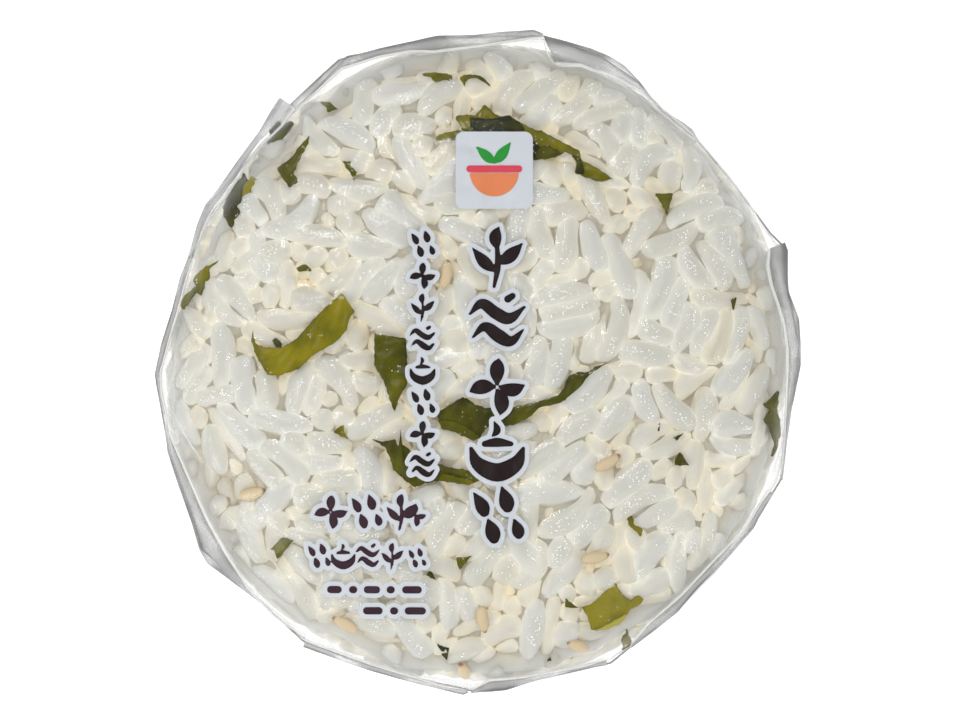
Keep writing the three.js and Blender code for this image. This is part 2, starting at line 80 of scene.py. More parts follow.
# Strips of seaweed seen from above: depth under the film, how dark it looks, and its two edges from tip
# to tip as x, y in turn; the second edge is given without the tips that it shares with the first
LEAVES = {
    "wakame_top": (0.55, 0.25,
        [-2.7, 30.1, -2.4, 30.4, -0.7, 30.5, -0.3, 30.4, 0.9, 31.8, 2.2, 30.5, 3, 30.2, 3.9, 30.4,
         4.9, 29.7, 6, 29.1, 7.1, 28.6, 7.7, 28.6, 8.8, 28, 10.4, 27.1, 11.3, 26.7, 12.6, 26, 12.7, 24.9,
         14.2, 24.2, 15.7, 23.3, 16.6, 22.6],
        [-1.9, 28.6, 0.5, 27.1, 3.9, 25.6, 7, 24.9, 8.7, 25, 10.3, 25.5, 10.7, 26, 11.5, 25.6, 12.2, 24.5,
         11.9, 23.3, 13.3, 22.8, 15, 22.2]),
    "wakame_left": (0.55, 0.15,
        [-27.6, 3.9, -27.3, 2.5, -26.2, 1.9, -24, 1.9, -22.1, 3, -20.1, 5.3, -18.6, 6.8, -16.6, 8.6,
         -15, 6.3],
        [-27.8, 3, -27.2, 1, -25.8, -1.4, -24.4, -1.6, -21.9, -0.7, -20.1, 1, -17.3, 2.6, -16, 4,
         -15.7, 5.4]),
    "wakame_middle": (0.55, 0.6,
        [-12.6, 3.6, -8.7, 3, -8.6, 0.5, -8.5, -1.3, -8.6, -2.6, -9.5, -4.1, -10.1, -6],
        [-12.6, -0.3, -11.4, -2.3, -10.7, -4.6]),
    "wakame_middle_right": (0.55, 0.7,
        [-5.1, -6.1, -3.5, -5.2, -1.6, -4, -0.4, -5, 1.1, -5.5, 3.3, -5.5, 5.7, -5.1, 7.6, -4.6, 9.9, -3.9,
         10.5, -3.1, 11, -1.7, 12.2, -1.1, 13.6, -1.1, 14.2, -0.5, 15.8, 0],
        [-4.5, -7.2, -4.3, -8.1, -3.1, -8.3, -1.8, -8.9, -0.4, -9.5, 0.3, -9.1, 1.1, -7.9, 4.3, -7.6,
         5.2, -7.2, 6.4, -6.6, 7.6, -5.4, 9.3, -5.1, 10.7, -4.6, 12.4, -3.1, 13.6, -1.5]),
    "wakame_middle_low": (0.55, 0.6,
        [-12.9, -9.3, -11.5, -9.6, -10.1, -9.3, -9.5, -10.5, -9.4, -8, -9.2, -9.9, -8.4, -10.5,
         -7.2, -11.6, -4.5, -12.4, -3.1, -12.8, -0.4, -13.2, 0.6, -14.1],
        [-11.3, -10.3, -10.7, -11.6, -10.3, -13, -8.8, -14.4, -7.6, -15.2, -6.3, -14.7, -4.7, -14.4,
         -3.1, -14.5, -1.2, -14.8, -0.2, -14.6]),
    "wakame_left_rim": (0.55, 0.4,
        [-32, 12.7, -33.7, 12.1, -35, 10.9, -35.3, 10.1, -35, 9.6, -36.7, 8.3, -37.1, 7.6, -36.7, 6.7],
        [-33.2, 11.8, -33.4, 10.1, -34.3, 8.4, -34.9, 8.9, -35.9, 7.9]),
    "wakame_upper_left_rim": (0.55, 0.8,
        [-29.2, 23.7, -30.5, 21.8, -31.9, 19.6, -31.5, 18.2, -30.6, 16.8],
        [-28.8, 23, -29, 21.8, -29.2, 20, -29.6, 18.6]),
    "wakame_upper_left": (0.55, 0.5,
        [-20.8, 28, -22.2, 26.5, -23.1, 25.3, -24.8, 24.1, -24.2, 23, -23.2, 21.6],
        [-21.3, 26.5, -22.3, 24.5, -22.8, 23.4, -22, 22.4]),
    "wakame_bottom_right": (0.55, 0.05,
        [12.9, -30.1, 13.7, -29.9, 14.7, -29.2, 16.2, -27.7, 16.3, -27.3, 17.1, -27.1, 17.3, -27.7,
         17.9, -28.5, 18.4, -29, 19.2, -29.4, 19.9, -28.7, 20.5, -29.2],
        [13.6, -31.4, 14.1, -33, 16, -32.9, 17.4, -32.3, 18.2, -31.6, 18.9, -30.5, 19.5, -30.1, 19.9, -30]),
    "wakame_right_rim": (0.55, 0.55,
        [37.4, -3.5, 36.2, -4.7, 35.4, -5.1, 36.1, -5.8, 35.5, -7, 36.5, -8.4, 37, -9.9, 36.8, -11.7],
        [37.3, -5.7, 37.7, -7.2, 37.7, -8.8, 37.6, -10.5]),
    "wakame_bit_01": (0.55, 0.4, [-19.6, 32.4, -18.5, 32.5, -17.4, 31.5], [-18.9, 31.9, -18.6, 31.1]),
    "wakame_bit_02": (0.55, 0.4,
        [-16.6, 24.8, -16.1, 23.9, -15.5, 23.2, -15.1, 22],
        [-15.6, 24.8, -14.9, 23.4]),
    "wakame_bit_03": (0.55, 0.4, [-22.3, 11.7, -21, 12.2, -20.3, 11.3], [-21.9, 11.2]),
    "wakame_bit_04": (0.55, 0.4, [-17.6, -8.4, -16.4, -7.4, -16.3, -8.4, -15.8, -9.3], [-16.8, -8.9]),
    "wakame_bit_05": (0.55, 0.4,
        [-6.8, 35.7, -5.9, 35.9, -4, 35.8, -3.1, 35.6, -3.2, 34.7],
        [-5.8, 35.4, -5.2, 34.6, -4, 35]),
    "wakame_bit_06": (0.55, 0.4,
        [-1.6, 34.1, -2.2, 35.2, -1.7, 35.6, -0.2, 35.6, 0.8, 35.1, 1.6, 34.2],
        [-1.3, 35, -0.2, 35.3]),
    "wakame_bit_07": (0.55, 0.4, [-25.5, -22.9, -24, -21.4, -22.6, -21.8], [-25, -23.2, -24.6, -24.2]),
    "wakame_bit_08": (0.55, 0.6, [-2.2, -25.4, -2.7, -23.8, -1.6, -23.8, -0.7, -23.6], []),
    "wakame_bit_09": (0.55, 0.4, [21.8, 20.8, 24.1, 20.9, 23.3, 18.1], [22.6, 19.7]),
    "wakame_bit_10": (0.55, 0.4,
        [18.2, -18.8, 19, -18.7, 19.2, -19.8, 20.4, -20.4, 20, -21.3],
        [18.7, -20.1, 19.3, -20.5]),
    "wakame_bit_11": (0.55, 0.4,
        [18.7, -33.2, 18.9, -33.6, 19, -34.6, 18.4, -35.3, 17.8, -35.4],
        [18.5, -33.9, 18, -34.3]),
}

# Layers of seaweed behind or on those, folds, and bits that show in gaps between grains, set down alike
LEAF_LAYERS = {
    "top_lobe": (0.6, 0.3,
        [-5.2, 27.4, -4.8, 28, -3.3, 28.4, -1.9, 28.6, -0.8, 27.9],
        [-3.5, 27.2, -2.4, 26.9]),
    "top_dark": (0.36, 1,
        [-0.9, 30.1, 1.6, 29.9, 3.8, 30.4, 5.5, 29.3, 6.2, 27.5, 7.1, 27, 7.9, 26.3, 7.2, 25],
        [-0.8, 28.6, -0.5, 27.2, 2.4, 26, 5.2, 25.3]),
    "top_green": (0.33, 0.75, [7.1, 26, 7.9, 26.5, 8.7, 26.7, 10.4, 25.6], [7.1, 25, 8.7, 25]),
    "top_grey": (0.33, 0.8, [11.5, 25.7, 12.6, 25, 13, 24.1, 13, 23.1], [12.2, 24.5, 11.9, 23.3]),
    "right_fold": (0.36, 0.62,
        [-4.9, -6.9, -2.9, -7.1, -1.8, -7.5, -0.2, -8.5, 0.4, -9],
        [-4.3, -8.1, -3.1, -8.3, -1.8, -8.9, -0.4, -9.5]),
    "low_fold": (0.36, 0.35,
        [-4.5, -13.5, -3.1, -13.7, -1.2, -14.2, -0.2, -14.6],
        [-4.7, -14.4, -3.1, -14.6, -1.2, -14.9]),
    "bottom_fold": (0.36, -0.5, [14.5, -33, 16.9, -31.8, 18.3, -31], [16, -32.9, 17.4, -32.3, 18.2, -31.6]),
    "bottom_left_bit": (0.5, 0.5, [10.9, -28.9, 11.5, -29.5, 12.4, -30.1], [10.7, -29.9, 11.5, -30.1]),
    "rim_leaf": (0.5, 0.1, [-29.1, 20.2, -29.1, 21.8, -28.1, 23.2, -27.3, 22.7], [-28.8, 20.1, -28, 21.8]),
    "fold_leaf": (0.7, 0.7,
        [-23.4, 30.3, -24.8, 29.7, -26.2, 27.9, -26.5, 27],
        [-23, 30, -24, 28.5, -25.4, 27.5]),
    "gap_01": (1, 0.8, [21.6, -8.1, 22.4, -7.3], [22.3, -8.5]),
    "gap_02": (1, 0.8, [24.1, -9.2, 25.4, -8.6], [24.5, -9.5]),
    "gap_03": (1, 0.8, [24.3, -11.9, 24.9, -10.9, 26.1, -12.6], [24.3, -12.6]),
    "gap_04": (1, 0.8, [31.3, 7.8, 32.1, 8.1], [31.7, 6.5]),
    "gap_05": (1, 0.8, [8.7, -37.8, 9.1, -36.9], [9.5, -37.7]),
    "gap_06": (1, 0.8, [-5, -35, -3.5, -35.5], [-4.5, -36.3, -3.8, -37.3]),
    "gap_07": (1, 0.8, [-6.3, -26.1, -5.8, -25.2, -5.1, -26.7], []),
    "gap_08": (1, 0.8, [-25.3, 2.8, -24.7, 3.1, -24, 2.4], [-24.3, 1.4]),
}
LEAF_THICKNESS = 0.25
LEAF_STEP = 0.25

# Sesame: size, then the place of each seed and its turn in degrees
SEED_SIZE = (3.5, 1.55, 1.15)
SEED_PLACES = np.array([
    [0.6, -31.6, 278], [12.5, -35.1, 140], [14.5, -23.9, 10], [-16.4, -32.3, 150],
    [-1.7, -38.4, 95], [-3.8, 10.9, 80], [16.0, -12.2, 30], [-27.7, -16.1, 15],
])

# Folds of spare film along the rim, seen from above: outer and inner edge, x and y in turn
FOLDS = {
    "fold_top": (
        [-23.1, 31.9, -20.7, 34.2, -18.9, 35.9, -17.1, 37.5, -12.1, 38.8, -8.1, 39.6, -5, 40.3, -0.2, 40.4,
         3.1, 40.8, 6.9, 41.1, 8.1, 40.6],
        [-22.3, 31.1, -20.3, 32.9, -18.7, 34.4, -16.7, 36.2, -15.1, 36.7, -12.1, 37.7, -8.1, 38.3,
         -5.4, 38.1, -1.7, 38.6, 1.2, 39, 5.5, 39.8, 8, 40.1]),
    "fold_top_right": (
        [8.1, 40.4, 10.5, 39.8, 14, 38.8, 16.4, 37.8, 18.1, 36.7, 20, 34.7, 21.1, 33.1, 21.9, 31.9],
        [9.7, 36.4, 12.8, 36.4, 14, 35.9, 16.4, 35.2, 19.9, 33.5, 21.9, 31.8]),
    "fold_ear": (
        [21.7, 32.4, 23.2, 30.9, 25.2, 29.7, 26.5, 28.8, 27.2, 27.5],
        [21.7, 32.1, 24.5, 29.8, 27.2, 27.4]),
    "fold_right": (
        [37.9, 14.9, 38.2, 14.1, 38.2, 10.8, 38.3, 8.8, 39.6, 5.5, 39.8, 2.5, 39.8, -0.3, 38.9, -4.6,
         38.7, -5.4, 38.1, -9.9, 37.6, -14.5],
        [35.7, 14, 35.5, 11.8, 35.9, 9.8, 36.8, 7.2, 37.6, 4.5, 38, 1.6, 38, -0.3, 37.9, -4.6, 37.7, -9.6,
         37.3, -14.3]),
    "fold_bottom_right": (
        [36.5, -16.1, 35.4, -17.4, 34.1, -20.3, 31, -23.8, 27, -27.8, 24.6, -30.7, 22.1, -32.7, 19, -35.1],
        [36, -15.8, 34.7, -17.4, 32.9, -20.3, 29.8, -23.4, 25, -28.5, 22.9, -30.3, 21, -31.9, 18.7, -34.9]),
    "fold_bottom": (
        [15.8, -37.3, 12.8, -37.7, 9.7, -38.2, 6.9, -39.2, 3.5, -40.3, -0.9, -40.7],
        [15.9, -36.5, 12.8, -37.3, 9.7, -37.8, 5.6, -38.6, 1.5, -38.9, -0.7, -40.3]),
    "fold_bottom_left": (
        [-1.1, -40.6, -1.8, -40.9, -7.5, -39.5, -13.5, -37.8, -17.9, -36.3, -21.5, -35],
        [-1.4, -40.2, -4.7, -39.6, -7.5, -38.7, -13.1, -37, -17.1, -35.6, -19.7, -34.7, -21.2, -34.1]),
    "fold_lower_left": (
        [-21.3, -34, -27.2, -29.2, -31.9, -25.7, -33.4, -24.7, -34.3, -23, -35.2, -19.7, -37.1, -14.2,
         -38.2, -10.8, -38.4, -8.6],
        [-21.3, -33.7, -25.2, -31, -26.8, -29.2, -28.3, -27.5, -30.8, -23.1, -33.2, -18.9, -36, -12.6,
         -37.9, -8.7]),
    "fold_left": (
        [-38.4, -8.6, -38.6, -6.6, -39.3, -4, -39.8, -1.4, -39, 2.3, -37.6, 6.5, -36.6, 10.6, -35.2, 14],
        [-37.9, -8.6, -38.2, -6.5, -38.8, -4, -39, -1.1, -38, 2.5, -36.8, 6.3, -35.9, 9.7, -34.6, 13.8]),
    "roll": (
        [-35.7, 12.8, -34.7, 16.6, -34.3, 17.8, -33.5, 19.6, -31.9, 21.6, -29.6, 24.9, -26.8, 28.7,
         -25.6, 30.9, -24.4, 32.8],
        [-34.8, 13.4, -33.8, 16, -32.7, 18, -31, 20.2, -28.8, 23.7, -26.4, 26.9, -24, 29.1, -22.3, 31.3]),
}
FOLD_STEP = 0.35
FOLD_THICKNESS = 0.1

# Creases in the film, seen from above, x and y in turn
CREASES = [
    [-37.3, -6.3, -35.8, -8.9, -33.7, -12.1],
    [-31.1, -18.4, -29.3, -19.7, -27.7, -21.5],
    [-26.7, -23.6, -25.2, -23.9, -23.8, -26.1],
    [8.1, 40.3, 8.4, 38.5, 9, 37.2, 9.7, 36.4],
    [6.1, 39.1, 8.1, 37.5],
]

# Print on the film: brush strokes as x, y, half-width in turn, each motif in a square from -1 to 1
MOTIFS = {
    "sprig": [
        [-0.1, -0.95, 0.05, 0.02, -0.3, 0.1, 0, 0.35, 0.07],
        [-0.05, -0.45, 0.05, -0.42, -0.15, 0.2, -0.8, 0.3, 0.02],
        [0.05, -0.2, 0.05, 0.42, 0.05, 0.22, 0.82, 0.45, 0.02],
        [0, 0.3, 0.06, -0.06, 0.65, 0.2, 0.05, 0.98, 0.02],
    ],
    "bowl": [
        [-0.85, 0.1, 0.06, -0.62, -0.4, 0.22, 0, -0.68, 0.3, 0.6, -0.4, 0.24, 0.85, 0.1, 0.06],
        [-0.4, 0.25, 0.1, 0, 0.3, 0.15, 0.45, 0.25, 0.08],
        [-0.15, 0.5, 0.03, 0, 0.7, 0.12, -0.1, 0.98, 0.02],
    ],
    "wave": [
        [-0.9, 0.25, 0.03, -0.5, 0.6, 0.16, -0.05, 0.3, 0.2, 0.4, 0.12, 0.18, 0.9, 0.5, 0.03],
        [-0.8, -0.5, 0.03, -0.4, -0.15, 0.15, 0.05, -0.45, 0.22, 0.45, -0.62, 0.16, 0.85, -0.25, 0.03],
        [0.35, 0.75, 0.12, 0.5, 0.85, 0.1],
    ],
    "seeds": [
        [-0.75, 0.75, 0.03, -0.5, 0.35, 0.22, -0.42, 0.15, 0.17],
        [0.15, 0.95, 0.03, 0.3, 0.5, 0.24, 0.34, 0.3, 0.18],
        [-0.3, -0.1, 0.03, -0.15, -0.5, 0.24, -0.1, -0.72, 0.17],
        [0.55, -0.1, 0.03, 0.68, -0.45, 0.2, 0.7, -0.6, 0.14],
    ],
    "petals": [
        [0, 0.1, 0.06, 0, 0.55, 0.24, 0.05, 0.9, 0.03],
        [0.1, 0, 0.06, 0.5, -0.1, 0.22, 0.88, 0.05, 0.03],
        [0, -0.12, 0.06, 0.15, -0.5, 0.24, 0.1, -0.9, 0.03],
        [-0.1, 0, 0.06, -0.5, 0, 0.24, -0.88, -0.15, 0.03],
    ],
}
# Rows of motifs: their kinds, the first one's middle, the step to the next, and the half-size
COLUMN_ROWS = [
    ("sprig wave petals bowl seeds", (2.4, 12.9), (0, -7.9), 3.75),
    ("seeds petals sprig wave bowl seeds petals wave", (-6.7, 14.5), (0, -3.86), 1.75),
]
BLOCK_ROWS = [
    ("petals seeds sprig", (-17.9, -18.2), (4.3, 0), 2.25),
    ("petals", (-7.6, -18.6), (0, 0), 1.5),
    ("seeds bowl wave sprig", (-19.4, -23.6), (3.0, 0), 1.65),
    ("seeds", (-7.4, -23.8), (0, 0), 1.3),
]
# Dashes of print: middle x and y, half-length
DASH_HALF_HEIGHT = 0.45
DASHES = [
    [-17.5, -27.7, 0.9], [-15.2, -27.7, 0.5], [-12.9, -27.7, 1.0], [-10.6, -27.7, 0.5], [-8.0, -27.7, 1.2],
    [-12.8, -30.3, 1.2], [-10.2, -30.3, 0.5], [-7.6, -30.3, 1.3],
]
# The badge's middle and half-width, the grid that print is cut from, and its white ground's margin
BADGE_X = 2.05
BADGE_Y = 23.55
BADGE_HALF = 4.72
PRINT_GRID = 0.16
HALO = 0.55

# The camera looks straight down; the photo is 119 mm wide at the waist and its middle is off the ball's
VIEW_WIDTH = 119.1
VIEW_MIDDLE = (0.31, 0.62)
CAMERA_LENS = 300.0
SENSOR_WIDTH = 36.0
FLOOR_HEIGHT = -0.2


# Plan outline and section of the ball

CORNER_XY = FILM_CORNERS[:, 1:] * np.column_stack([
    np.cos(np.radians(FILM_CORNERS[:, 0])),
    np.sin(np.radians(FILM_CORNERS[:, 0])),
])


def outline_radius(angle):
    """Distance to the film's outline: where a ray crosses the straight edge between two corners."""
    turn = np.mod(np.degrees(angle), 360)
    after = np.searchsorted(FILM_CORNERS[:, 0], turn, side="right") % len(FILM_CORNERS)
    start, end = CORNER_XY[after - 1], CORNER_XY[after]
    edge = end - start
    cross = start[..., 0] * end[..., 1] - start[..., 1] * end[..., 0]
    return cross / (np.cos(angle) * edge[..., 1] - np.sin(angle) * edge[..., 0])


SOFT_ANGLES = np.radians(np.arange(0, 361, 1.0))
SOFT_STEPS = np.radians(np.linspace(-20, 20, 9))
SOFT_TABLE = np.mean([outline_radius(SOFT_ANGLES + step) for step in SOFT_STEPS], axis=0)


def soft_radius(angle):
    """The outline averaged over twenty degrees to either side, so that its corners melt away."""
    return np.interp(np.mod(angle, TURN), SOFT_ANGLES, SOFT_TABLE)


def rice_radius(angle):
    """The rice's own outline: the melted outline less its gap to the film."""
    return soft_radius(angle) - np.interp(np.degrees(np.mod(angle, TURN)), *RICE_GAPS.T)


def film_points(angle, fall):
    """Points of the film: a superellipse section turned round the ball.

    Fall runs from 0 in the middle of the top to a right angle at the waist and on to the foot. The
    radius goes from the straight-edged outline at the waist to the melted one at the top and foot.
    """
    upper = fall <= math.pi / 2
    share = np.where(upper, fall, fall - math.pi / 2)
    power = np.where(upper, 2 / SHOULDER_POWER, 2 / FOOT_POWER)
    rising, falling = np.clip(np.sin(share), 0, 1) ** power, np.clip(np.cos(share), 0, 1) ** power
    out = np.where(upper, rising, falling)
    level = np.where(upper, falling, rising)
    radius = outline_radius(angle) * (1 - level) + soft_radius(angle) * level
    height = WAIST_HEIGHT + np.where(upper, TOP_DEPTH, -FOOT_DEPTH) * level
    return np.stack([radius * out * np.cos(angle), radius * out * np.sin(angle), height], axis=-1)


def depth_in_rice(points):
    """Depth below the rice's hull, and the outward normal there.

    The hull is a superellipse in radius and height; depth is its level's shortfall over its slope.
    """
    angle = np.arctan2(points[..., 1], points[..., 0])
    reach = np.maximum(np.hypot(points[..., 0], points[..., 1]), 1e-6)
    rise = points[..., 2] - WAIST_HEIGHT
    power = np.where(rise > 0, SHOULDER_POWER, FOOT_POWER)
    side_share = (reach / rice_radius(angle)) ** power
    up_share = (np.abs(rise) / np.where(rise > 0, TOP_DEPTH, FOOT_DEPTH)) ** power
    level = np.maximum(side_share + up_share, 1e-6) ** (1 / power)
    slope = level ** (1 - power)
    radial = slope * side_share / reach
    vertical = slope * up_share / np.maximum(np.abs(rise), 1e-6) * np.sign(rise)
    steepness = np.maximum(np.hypot(radial, vertical), 1e-6)
    normal = np.stack([radial * np.cos(angle), radial * np.sin(angle), vertical], axis=-1)
    return (1 - level) / steepness, normal / steepness[..., None]


def film_height(x, y):
    """Height of the film over plan points, from the superellipse solved for height."""
    angle = np.arctan2(y, x)
    share = np.clip(np.hypot(x, y) / soft_radius(angle), 0, 0.985)
    return WAIST_HEIGHT + TOP_DEPTH * (1 - share ** SHOULDER_POWER) ** (1 / SHOULDER_POWER)


def unit(vectors, least=1e-9):
    """Vectors brought to length 1; one shorter than the least stays short."""
    return vectors / np.maximum(np.linalg.norm(vectors, axis=-1, keepdims=True), least)


def under_film(x, y, depth):
    """Points a depth below the film over plan points, with the normals there, from height differences."""
    step = 0.05
    slope_x = (film_height(x + step, y) - film_height(x - step, y)) / (2 * step)
    slope_y = (film_height(x, y + step) - film_height(x, y - step)) / (2 * step)
    normal = unit(np.stack([-slope_x, -slope_y, np.ones_like(slope_x)], axis=-1))
    surface = np.stack([x, y, film_height(x, y)], axis=-1)
    return surface - normal * np.asarray(depth)[..., None], normal


def along_line(line, steps):
    """Points at even steps along a line, given as points or as x, y in turn."""
    line = np.reshape(line, (-1, 2))
    marks = np.concatenate([[0], np.cumsum(np.hypot(*np.diff(line, axis=0).T))])
    fine = np.linspace(0, marks[-1], steps)
    return np.column_stack([np.interp(fine, marks, column) for column in line.T])


def line_length(line):
    return np.hypot(*np.diff(np.reshape(line, (-1, 2)), axis=0).T).sum()


def ruled(first, second, columns):
    """A grid of points ruled between two edges with as many points each, and the share of the way over."""
    share = np.linspace(0, 1, columns)
    return first[:, None, :] * (1 - share)[None, :, None] + second[:, None, :] * share[None, :, None], share


def placed(centre, ahead, side, up, shape):
    """Shapes set down at their centres, each in its own directions ahead, to the side and up."""
    return (
        centre[:, None, :]
        + shape[..., 0:1] * ahead[:, None, :]
        + shape[..., 1:2] * side[:, None, :]
        + shape[..., 2:3] * up[:, None, :]
    )


# Meshes

def new_mesh(name, points, faces, slot=None, body="root", smooth=True, **attributes):
    """A piece from an array of points in millimetres and a list of face index arrays."""
    mesh = bpy.data.meshes.new(name)
    sizes = np.concatenate([np.full(len(part), part.shape[1], np.int32) for part in faces])
    corners = np.concatenate([part.ravel() for part in faces]).astype(np.int32)
    mesh.vertices.add(len(points))
    mesh.vertices.foreach_set("co", (np.asarray(points) * MM).astype(np.float32).ravel())
    mesh.loops.add(len(corners))
    mesh.loops.foreach_set("vertex_index", corners)
    mesh.polygons.add(len(sizes))
    mesh.polygons.foreach_set("loop_start", np.concatenate([[0], np.cumsum(sizes)[:-1]]).astype(np.int32))
    mesh.polygons.foreach_set("loop_total", sizes)
    mesh.polygons.foreach_set("use_smooth", np.full(len(sizes), smooth))
    for label, values in attributes.items():
        attribute = mesh.attributes.new(label, "FLOAT", "POINT")
        attribute.data.foreach_set("value", np.asarray(values, np.float32).ravel())
    mesh.update()
    mesh.validate()
    piece = bpy.data.objects.new(name, mesh)
    bpy.context.scene.collection.objects.link(piece)
    if body:
        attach(piece, body)
    return piece


def grid_faces(rows, columns, wrap):
    """Quads of a grid of points; with wrap its last column joins the first."""
    row = np.arange(rows - 1)[:, None]
    column = np.arange(columns if wrap else columns - 1)[None, :]
    following = (column + 1) % columns
    quads = [row * columns + column, (row + 1) * columns + column]
    quads += [(row + 1) * columns + following, row * columns + following]
    return np.stack(quads, axis=-1).reshape(-1, 4)


def fan_faces(centre, ring, turned):
    """Triangles from one point to a closed ring of points."""
    following = np.roll(ring, -1)
    hub = np.full(len(ring), centre)
    order = [hub, following, ring] if turned else [hub, ring, following]
    return np.stack(order, axis=-1)


def sheet_faces(rows, columns):
    """Faces of a thin closed sheet: an upper grid, a lower grid after it, and the rim between them."""
    top = grid_faces(rows, columns, False)
    size = rows * columns
    index = np.arange(size).reshape(rows, columns)
    border = np.concatenate([index[0, :-1], index[:-1, -1], index[-1, :0:-1], index[:0:-1, 0]])
    following = np.roll(border, -1)
    rim = np.stack([border, following, following + size, border + size], axis=-1)
    return [top, top[:, ::-1] + size, rim]


def new_sheet(name, upper, lower, slot, **attributes):
    """A thin closed sheet from its upper and its lower grid of points."""
    points = np.concatenate([upper.reshape(-1, 3), lower.reshape(-1, 3)])
    return new_mesh(name, points, sheet_faces(*upper.shape[:2]), slot, **attributes)


def closed_skin(grid):
    """Points and faces of a grid wrapped round the ball, closed by a point at its top and its foot."""
    rows, columns = grid.shape[:2]
    flat = grid.reshape(-1, 3)
    poles = [[0, 0, flat[:columns, 2].mean()], [0, 0, flat[-columns:, 2].mean()]]
    ring = np.arange(columns)
    faces = [
        grid_faces(rows, columns, True),
        fan_faces(len(flat), ring, False),
        fan_faces(len(flat) + 1, ring + (rows - 1) * columns, True),
    ]
    return np.concatenate([flat, poles]), faces


def facing_up(first, second):
    """Puts two edges in the order that makes the sheet between them face upwards."""
    heading = np.diff((first + second) / 2, axis=0)
    across = (second - first)[:-1]
    turned = np.sum(heading[:, 0] * across[:, 1] - heading[:, 1] * across[:, 0]) < 0
    return (second, first) if turned else (first, second)


# Rice

def covered_spots():
    """Plan discs that seaweed and sesame take up: middle, radius, and where the rice below them starts."""
    discs = []
    for _, _, first, second in [*LEAVES.values(), *LEAF_LAYERS.values()]:
        steps = max(4, int(line_length(first) / 0.5))
        first, second = along_line(first, steps), along_line(first[:2] + second + first[-2:], steps)
        width = np.hypot(*(first - second).T)
        discs.append(np.column_stack([(first + second) / 2, width / 2 + 0.05, np.ones(steps)]))
    for x, y, turn in SEED_PLACES:
        reach = np.array([-0.9, 0.0, 0.9])
        heading = np.radians(turn)
        discs.append(np.column_stack([
            x + reach * np.cos(heading), y + reach * np.sin(heading), np.full(3, 0.9), np.full(3, 1.1),
        ]))
    return np.concatenate(discs)


COVERED = covered_spots()


def cover_depth(points, margin):
    """How far seaweed or sesame holds the rice down under the film, 0 beyond a margin round them."""
    gap = np.hypot(points[:, None, 0] - COVERED[None, :, 0], points[:, None, 1] - COVERED[None, :, 1])
    inside = np.clip((COVERED[None, :, 2] + margin - gap) / 0.6, 0, 1)
    lowered = np.max(inside * inside * (3 - 2 * inside) * COVERED[None, :, 3], axis=1)
    return np.where(points[:, 2] > WAIST_HEIGHT + 3, lowered, 0)


def close_pairs(points, owner, reach):
    """Index pairs of points nearer than a reach that belong to different grains, block by block."""
    firsts, seconds = [], []
    squares = np.sum(points * points, axis=1)
    block = 800
    for start in range(0, len(points), block):
        part = slice(start, start + block)
        gaps = squares[part, None] + squares[None, :] - 2 * points[part] @ points.T
        near = (gaps < reach * reach) & (owner[part, None] < owner[None, :])
        first, second = np.nonzero(near)
        firsts.append(first + start)
        seconds.append(second)
    return np.concatenate(firsts), np.concatenate(seconds)


